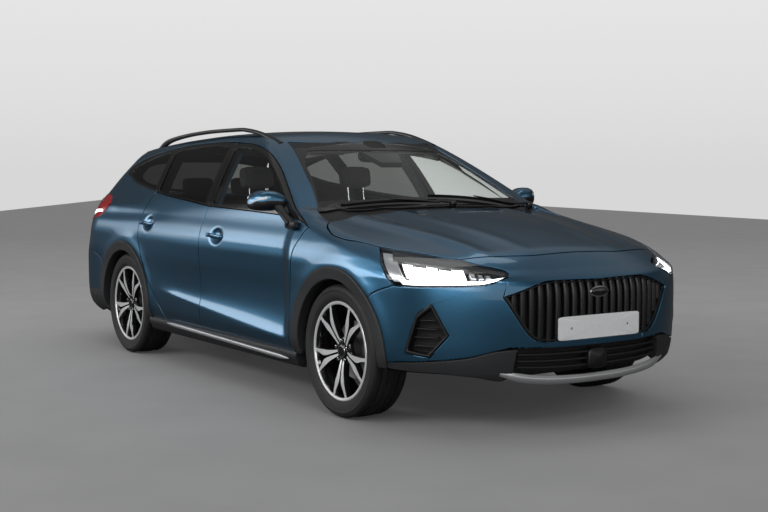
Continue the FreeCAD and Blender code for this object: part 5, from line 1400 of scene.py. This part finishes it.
for name, centre, lean, sizes, wing, seams in (
        ("Cushion", (0, .815, .485), 1.665, (.53, .06, .225), 0, [acrossSeam(0, .2), acrossSeam(0, .38)]),
        ("Back", (0, 1.12, .735), .15, (.53, .05, .272), 0, [acrossSeam(0, .2), acrossSeam(0, .38)])):
    stuffed(f"rearSeat{name}", padPart(centre, lean, sizes, wing, .014, 6, 56, 60), "car", seatCloth, .01,
            seams, .012,
            ["rear_seat"] if name == "Cushion" else ())
for index, x in enumerate((-.37, 0, .37)):
    stuffed(f"rearHead.{index}", padPart((x, 1.262, 1.12), .12, (.11, .034, .06), 0, .006, 3.2, 36, 26),
            "car",
            seatCloth, .006, (), .008)
print("stage: seats stuffed")

wheelAxis, wheelCentre = np.array([0, .9061, .4231]), np.array([.37, -.52, .85])
wheelSide, wheelTop = np.array([1.0, 0, 0]), np.array([0, -.4231, .9061])
a = np.linspace(0, 2 * np.pi, 96, endpoint=False)[:, None, None]
b = np.linspace(0, 2 * np.pi, 20, endpoint=False)[None, :, None]
grip = .014 + .0012 * np.cos(4 * a)
ringPoints = (wheelCentre + (.183 + grip * np.cos(b)) * (np.cos(a) * wheelSide + np.sin(a) * wheelTop)
              + grip * np.sin(b) * wheelAxis)
ringFaces = quads(96, 20, True)
i = np.arange(96)
seam = np.stack([i * 20 + 19, (i + 1) % 96 * 20 + 19, (i + 1) % 96 * 20, i * 20], -1)
wheelRing = (ringPoints.reshape(-1, 3), np.concatenate([ringFaces, seam])[:, ::-1], None,
             np.zeros(96 * 20, int))
wheelBits = [wheelRing,
             pillow(wheelCentre - .002 * wheelAxis, (wheelSide, wheelTop, wheelAxis), (.078, .062, .024), 3,
                    .5,
                    40, 11, 1)]
for angle in np.radians([0, 180, 270]):
    way = math.cos(angle) * wheelSide + math.sin(angle) * wheelTop
    cross = np.cross(wheelAxis, way)
    wheelBits.append(pillow(wheelCentre + .122 * way - .004 * wheelAxis, (cross, wheelAxis, way),
                            (.017, .007, .062),
                            4, .3, 24, 9, 2))
wheelBits.append(swept([wheelCentre - .012 * wheelAxis, wheelCentre - .06 * wheelAxis,
                        wheelCentre - .12 * wheelAxis],
                       roundLoop(.03, .03, 24, 2.0), mark=1))
piece("steeringWheel", wheelBits, "steering_wheel", [dashSoft, satinBlack, glossBlack], ["steering_wheel"])

# The dash: one closed section, pushed forward towards both ends along a quartic.
dashValues = {"half": .688, "stations": 60}
dashSection = np.array([(-.938, .6), (-.938, .93), (-.925, .948), (-.86, .976), (-.78, .974), (-.71, .957),
                        (-.675, .935), (-.655, .905), (-.648, .875), (-.662, .862), (-.664, .812),
                        (-.656, .8),
                        (-.655, .77), (-.665, .745), (-.7, .69), (-.745, .63), (-.79, .585), (-.86, .57)])
x = np.linspace(-1, 1, dashValues["stations"])
sweep = -.05 * np.abs(x) ** 4
loops = np.stack([np.broadcast_to(x[:, None] * dashValues["half"], (60, 18)),
                  np.maximum(dashSection[None, :, 0] + sweep[:, None] * (dashSection[None, :, 0] > -.93),
                             -.938),
                  dashSection[None, :, 1] - .012 * np.abs(x[:, None]) ** 4 * (dashSection[None, :, 1] > .8)],
                  -1)
dashParts = [lofted(loops)]
for centre, lean, sizes, power, ends, count, stations, mark in (      # hood, dials and middle screen
        ((.37, -.715, .968), ((0, .96, -.28), (0, .28, .96)), (.165, .075, .04), 3, .5, 40, 13, 0),
        ((.37, -.652, .955), ((0, .42, .91), (0, .91, -.42)), (.135, .038, .006), 4, .3, 32, 7, 1),
        ((0, -.64, .915), ((0, -.17, .985), (0, .985, .17)), (.165, .058, .011), 8, .2, 40, 7, 1)):
    dashParts.append(pillow(centre, ((1, 0, 0), *lean), sizes, power, ends, count, stations, mark))
for x in (-.6, -.2, .2, .6):
    dashParts.append(pillow((x, -.655 - .045 * (abs(x) > .5), .838), lookAhead,
                            (.062, .022, .006), 5, .3, 28, 7, 1))
console = np.array([(-.105, .262), (-.105, .5), (-.098, .545), (-.08, .56), (.08, .56), (.098, .545),
                    (.105, .5),
                    (.105, .262)])
y = np.array([-.785, -.7, -.55, -.45, -.43, -.3, -.28, -.16, -.152])
rise = np.array([.13, .1, .03, 0.0, 0.0, 0.0, .028, .028, .01])
loops = np.stack([np.broadcast_to(console[None, :, 0], (9, 8)), np.broadcast_to(y[:, None], (9, 8)),
                  console[None, :, 1] + rise[:, None] * (console[None, :, 1] > .4)], -1)
dashParts.append(lofted(loops))
dashParts.append(pillow((0, -.4, .6), lookUp, (.018, .022, .034), 2.4, .5, 24, 9, 1))
dashParts.append(pillow((0, -.4, .563), lookUp, (.07, .08, .006), 5, .3, 28, 7, 1))
piece("dashAndConsole", dashParts, "car", [dashSoft, glossBlack], ["dashboard"])

rearView = [pillow((0, -.405, 1.315), ((1, 0, 0), (0, .25, .97), (0, .97, -.25)), (.115, .034, .016), 4, .4,
                   36, 9, 0),
            pillow((0, -.391, 1.311), ((1, 0, 0), (0, .25, .97), (0, .97, -.25)), (.106, .028, .004), 4, .3,
                   32, 7, 1),
            pillow((0, -.415, 1.362), ((1, 0, 0), (0, .87, .48), (0, -.48, .87)), (.075, .08, .02), 3.5, .4,
                   36, 9, 0)]
piece("rearViewMirror", rearView, "car", [satinBlack, chrome])
visors = [pillow((x, -.285, 1.354), ((1, 0, 0), (0, .93, .36), (0, -.36, .93)), (.165, .07, .01), 5, .3, 32,
                 7)
          for x in (-.32, .32)]
piece("sunVisors", visors, "car", seatCloth)
print("stage: cabin fitted")

# Paint outside and pale lining on the faces that look towards the middle of the car: the mix follows the
# sign of place times slope, taken across the car for the sides and up the car for the roof.
def twoSided(name, base, lining, axis="X"):
    material, tree, shader = finish(name, base, Roughness=.45)
    place, noise = node(tree, "TexCoord"), node(tree, "TexNoise", Scale=600.0, Detail=3.0)
    seat, turn = node(tree, "SeparateXYZ"), node(tree, "SeparateXYZ")
    both, inward = node(tree, "Math", operation="MULTIPLY"), node(tree, "Math", operation="LESS_THAN")
    inward.inputs[1].default_value = -.02
    shades = shadeRamp(tree, (0, [.86 * c for c in lining]), (1, lining))
    flakes = shadeRamp(tree, (0, [.85 * c for c in base]), (1, base))
    mix = node(tree, "Mix", data_type="RGBA")
    join(tree, (place.outputs["Object"], seat.inputs["Vector"]),
         (place.outputs["Normal"], turn.inputs["Vector"]),
         (seat.outputs[axis], both.inputs[0]), (turn.outputs[axis], both.inputs[1]),
         (both.outputs["Value"], inward.inputs[0]), (place.outputs["Object"], noise.inputs["Vector"]),
         (noise.outputs["Fac"], shades.inputs["Fac"]), (noise.outputs["Fac"], flakes.inputs["Fac"]),
         (inward.outputs["Value"], mix.inputs["Factor"]), (flakes.outputs["Color"], mix.inputs[6]),
         (shades.outputs["Color"], mix.inputs[7]), (mix.outputs[2], shader.inputs["Base Color"]))
    return material


sideFrameFinish = twoSided("sideFrameFinish", (.012, .04, .07), (.62, .61, .58))
keptFinishes = {
    "roof_panel": twoSided("roofPanelFinish", (.012, .012, .013), (.66, .65, .62), "Z"),
    "side_frame_left": sideFrameFinish, "side_frame_right": sideFrameFinish,
    "floor_pan": carpet, "boot_floor": carpet, "front_frame": satinBlack, "cowl": satinBlack,
    "wheel_liners": feltBlack, "engine": castAlloy, "radiator_pack": deepBlack, "front_subframe": dullSteel,
    "rear_axle": dullSteel, "exhaust": dullSteel, "fuel_tank": satinBlack, "knuckle_left": castIron,
    "knuckle_right": castIron,
}
for name, material in keptFinishes.items():
    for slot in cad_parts[name].material_slots:
        slot.material = material
print("stage: kept pieces finished")


# The studio
studio = {"fill": .42, "floorGlow": .07, "floorMirror": .08,
          "floorWay": (.5575, .8302, 0),        # level, away from the camera
          "wall": [(0.0, .68), (.06, .74), (.16, .8), (1.0, .82)],
          # the floor's painted light along floorWay, darkest near the camera and brightest a few metres past
          # the car: 5 m before the car's middle is 0, 15 m past it is 1
          "floor": [(0.0, .285), (.12, .325), (.42, .48), (.75, .46), (1.0, .42)],
          # where the front and the side light begin and the side light ends, by the direction's y or x
          "frontWay": (-.45, -.85), "sideWay": (-.3, -.62), "sideEnd": (-.935, -.965),
          # brightness by height of the direction, for reflections: the right side, the front, and elsewhere
          "side": [(0.0, .05), (.04, .06), (.07, 3.8), (.24, 4.4), (.29, .6), (.5, .3), (1.0, .12)],
          "front": [(0.0, 1.0), (.16, .8), (.3, .1), (.6, .06), (1.0, .1)],
          "around": [(0.0, .06), (.3, .05), (.48, .08), (.62, .26), (.85, .2), (1.0, .08)]}


# One flat face that belongs to the studio and not to the car.
def stageSheet(name, corners, material):
    mesh = bpy.data.meshes.new(name)
    mesh.from_pydata(corners, [], [tuple(range(len(corners)))])
    mesh.materials.append(material)
    thing = bpy.data.objects.new(name, mesh)
    bpy.context.scene.collection.objects.link(thing)
    thing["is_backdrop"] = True
    return thing


# Grey shades by a value from zero to one.
def heightShades(tree, height, stops):
    shades = shadeRamp(tree, *((where, grey(value)) for where, value in stops))
    join(tree, (height, shades.inputs["Fac"]))
    return shades.outputs["Color"]


# From the first shade to the second as an amount goes from low to high.
def blendShades(tree, amount, low, high, first, second):
    spread, mix = node(tree, "MapRange", From_Min=low, From_Max=high), node(tree, "Mix", data_type="RGBA")
    join(tree, (amount, spread.inputs["Value"]), (spread.outputs["Result"], mix.inputs["Factor"]),
         (first, mix.inputs[6]), (second, mix.inputs[7]))
    return mix.outputs[2]


# The floor: painted light, a shade that changes with the distance along the view as if the studio light fell
# brightest past the car, also carried into its glow, a fine grain, and a dark look in mirrors.
def makeFloor():
    material, tree, shader = finish("floorFinish", grey(.4), Roughness=.65,
                                    Emission_Strength=studio["floorGlow"])
    place, noise = node(tree, "TexCoord"), node(tree, "TexNoise", Scale=2.0, Detail=5.0)
    reach = node(tree, "VectorMath", operation="DOT_PRODUCT")
    reach.inputs[1].default_value = studio["floorWay"]
    spread = node(tree, "MapRange", From_Min=-5, From_Max=15)
    tint = node(tree, "Mix", data_type="RGBA", blend_type="MULTIPLY")
    tint.inputs["Factor"].default_value = 1.0
    dim = node(tree, "BsdfDiffuse", Color=(*grey(studio["floorMirror"]), 1))
    ray, both = node(tree, "LightPath"), node(tree, "MixShader")
    join(tree, (place.outputs["Object"], reach.inputs[0]), (place.outputs["Object"], noise.inputs["Vector"]),
         (reach.outputs["Value"], spread.inputs["Value"]),
         (heightShades(tree, spread.outputs["Result"], studio["floor"]), tint.inputs[6]),
         (heightShades(tree, noise.outputs["Fac"], [(.3, .96), (.7, 1.04)]), tint.inputs[7]),
         (tint.outputs[2], shader.inputs["Base Color"]), (tint.outputs[2], shader.inputs["Emission Color"]),
         (ray.outputs["Is Glossy Ray"], both.inputs["Fac"]), (shader.outputs["BSDF"], both.inputs[1]),
         (dim.outputs["BSDF"], both.inputs[2]),
         (both.outputs["Shader"], tree.nodes["Material Output"].inputs["Surface"]))
    return material


stageSheet("floor", [(-24.7, -30, 0), (10.6, -29.6, 0), (20.95, 13.8, 0), (34.8, 72, 0), (-24.7, -17, 0)],
           makeFloor())


# The camera sees a pale backdrop, reflections see a dark studio with a long light beside the car, and
# everything else gets an even fill.
def makeWorld():
    world = bpy.data.worlds.new("studio")
    bpy.context.scene.world = world
    world.use_nodes = True
    tree = world.node_tree
    tree.nodes.clear()
    place, way = node(tree, "TexCoord"), node(tree, "SeparateXYZ")
    join(tree, (place.outputs["Generated"], way.inputs["Vector"]))
    side, front, around = (heightShades(tree, way.outputs["Z"], studio[k]) for k in ("side", "front",
                                                                                     "around"))
    shades = blendShades(tree, way.outputs["Y"], *studio["frontWay"], around, front)
    shades = blendShades(tree, way.outputs["X"], *studio["sideWay"], shades, side)
    shades = blendShades(tree, way.outputs["X"], *studio["sideEnd"], shades, around)
    mirrored, fill, seen = (node(tree, "Background", Strength=1.0) for _ in range(3))
    fill.inputs["Color"].default_value = (*grey(studio["fill"]), 1)
    ray, end = node(tree, "LightPath"), node(tree, "OutputWorld")
    first, second = (node(tree, "MixShader") for _ in range(2))
    join(tree, (shades, mirrored.inputs["Color"]),
         (heightShades(tree, way.outputs["Z"], studio["wall"]), seen.inputs["Color"]),
         (ray.outputs["Is Glossy Ray"], first.inputs["Fac"]), (fill.outputs["Background"], first.inputs[1]),
         (mirrored.outputs["Background"], first.inputs[2]),
         (ray.outputs["Is Camera Ray"], second.inputs["Fac"]),
         (first.outputs["Shader"], second.inputs[1]), (seen.outputs["Background"], second.inputs[2]),
         (second.outputs["Shader"], end.inputs["Surface"]))


makeWorld()


# A rectangular light at a place, turned to its aim.
def softbox(name, place, aim, wide, tall, power):
    light = bpy.data.lights.new(name, "AREA")
    light.shape, light.size, light.size_y, light.energy = "RECTANGLE", wide, tall, power
    thing = bpy.data.objects.new(name, light)
    thing.location = place
    thing.rotation_mode = "QUATERNION"
    thing.rotation_quaternion = (Vector(aim) - Vector(place)).to_track_quat("-Z", "Y")
    bpy.context.scene.collection.objects.link(thing)
    return thing


softbox("sideBox", (-9, -1, 5.0), (0, 0, .6), 9, 1.6, 260)
softbox("frontBox", (-3, -9, 5.0), (0, -1, .6), 5, 1.2, 120)
softbox("topBox", (0, 0, 6.5), (0, 0, 0), 6, 2.0, 40)

view = {"place": (-4.131, -6.656, 1.24), "yaw": 33.884, "pitch": -3.984, "lens": 58.4}
camera = bpy.data.cameras.new("view")
camera.sensor_width, camera.lens = 36, view["lens"]
cameraThing = bpy.data.objects.new("view", camera)
bpy.context.scene.collection.objects.link(cameraThing)
bpy.context.scene.camera = cameraThing
cameraThing.location = view["place"]
yaw, pitch = math.radians(view["yaw"]), math.radians(view["pitch"])
look = Vector((math.sin(yaw) * math.cos(pitch), math.cos(yaw) * math.cos(pitch), math.sin(pitch)))
cameraThing.rotation_mode = "QUATERNION"
cameraThing.rotation_quaternion = look.to_track_quat("-Z", "Y")
bpy.context.scene.view_settings.view_transform = "Standard"
print("stage: studio and camera set")

low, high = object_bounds()
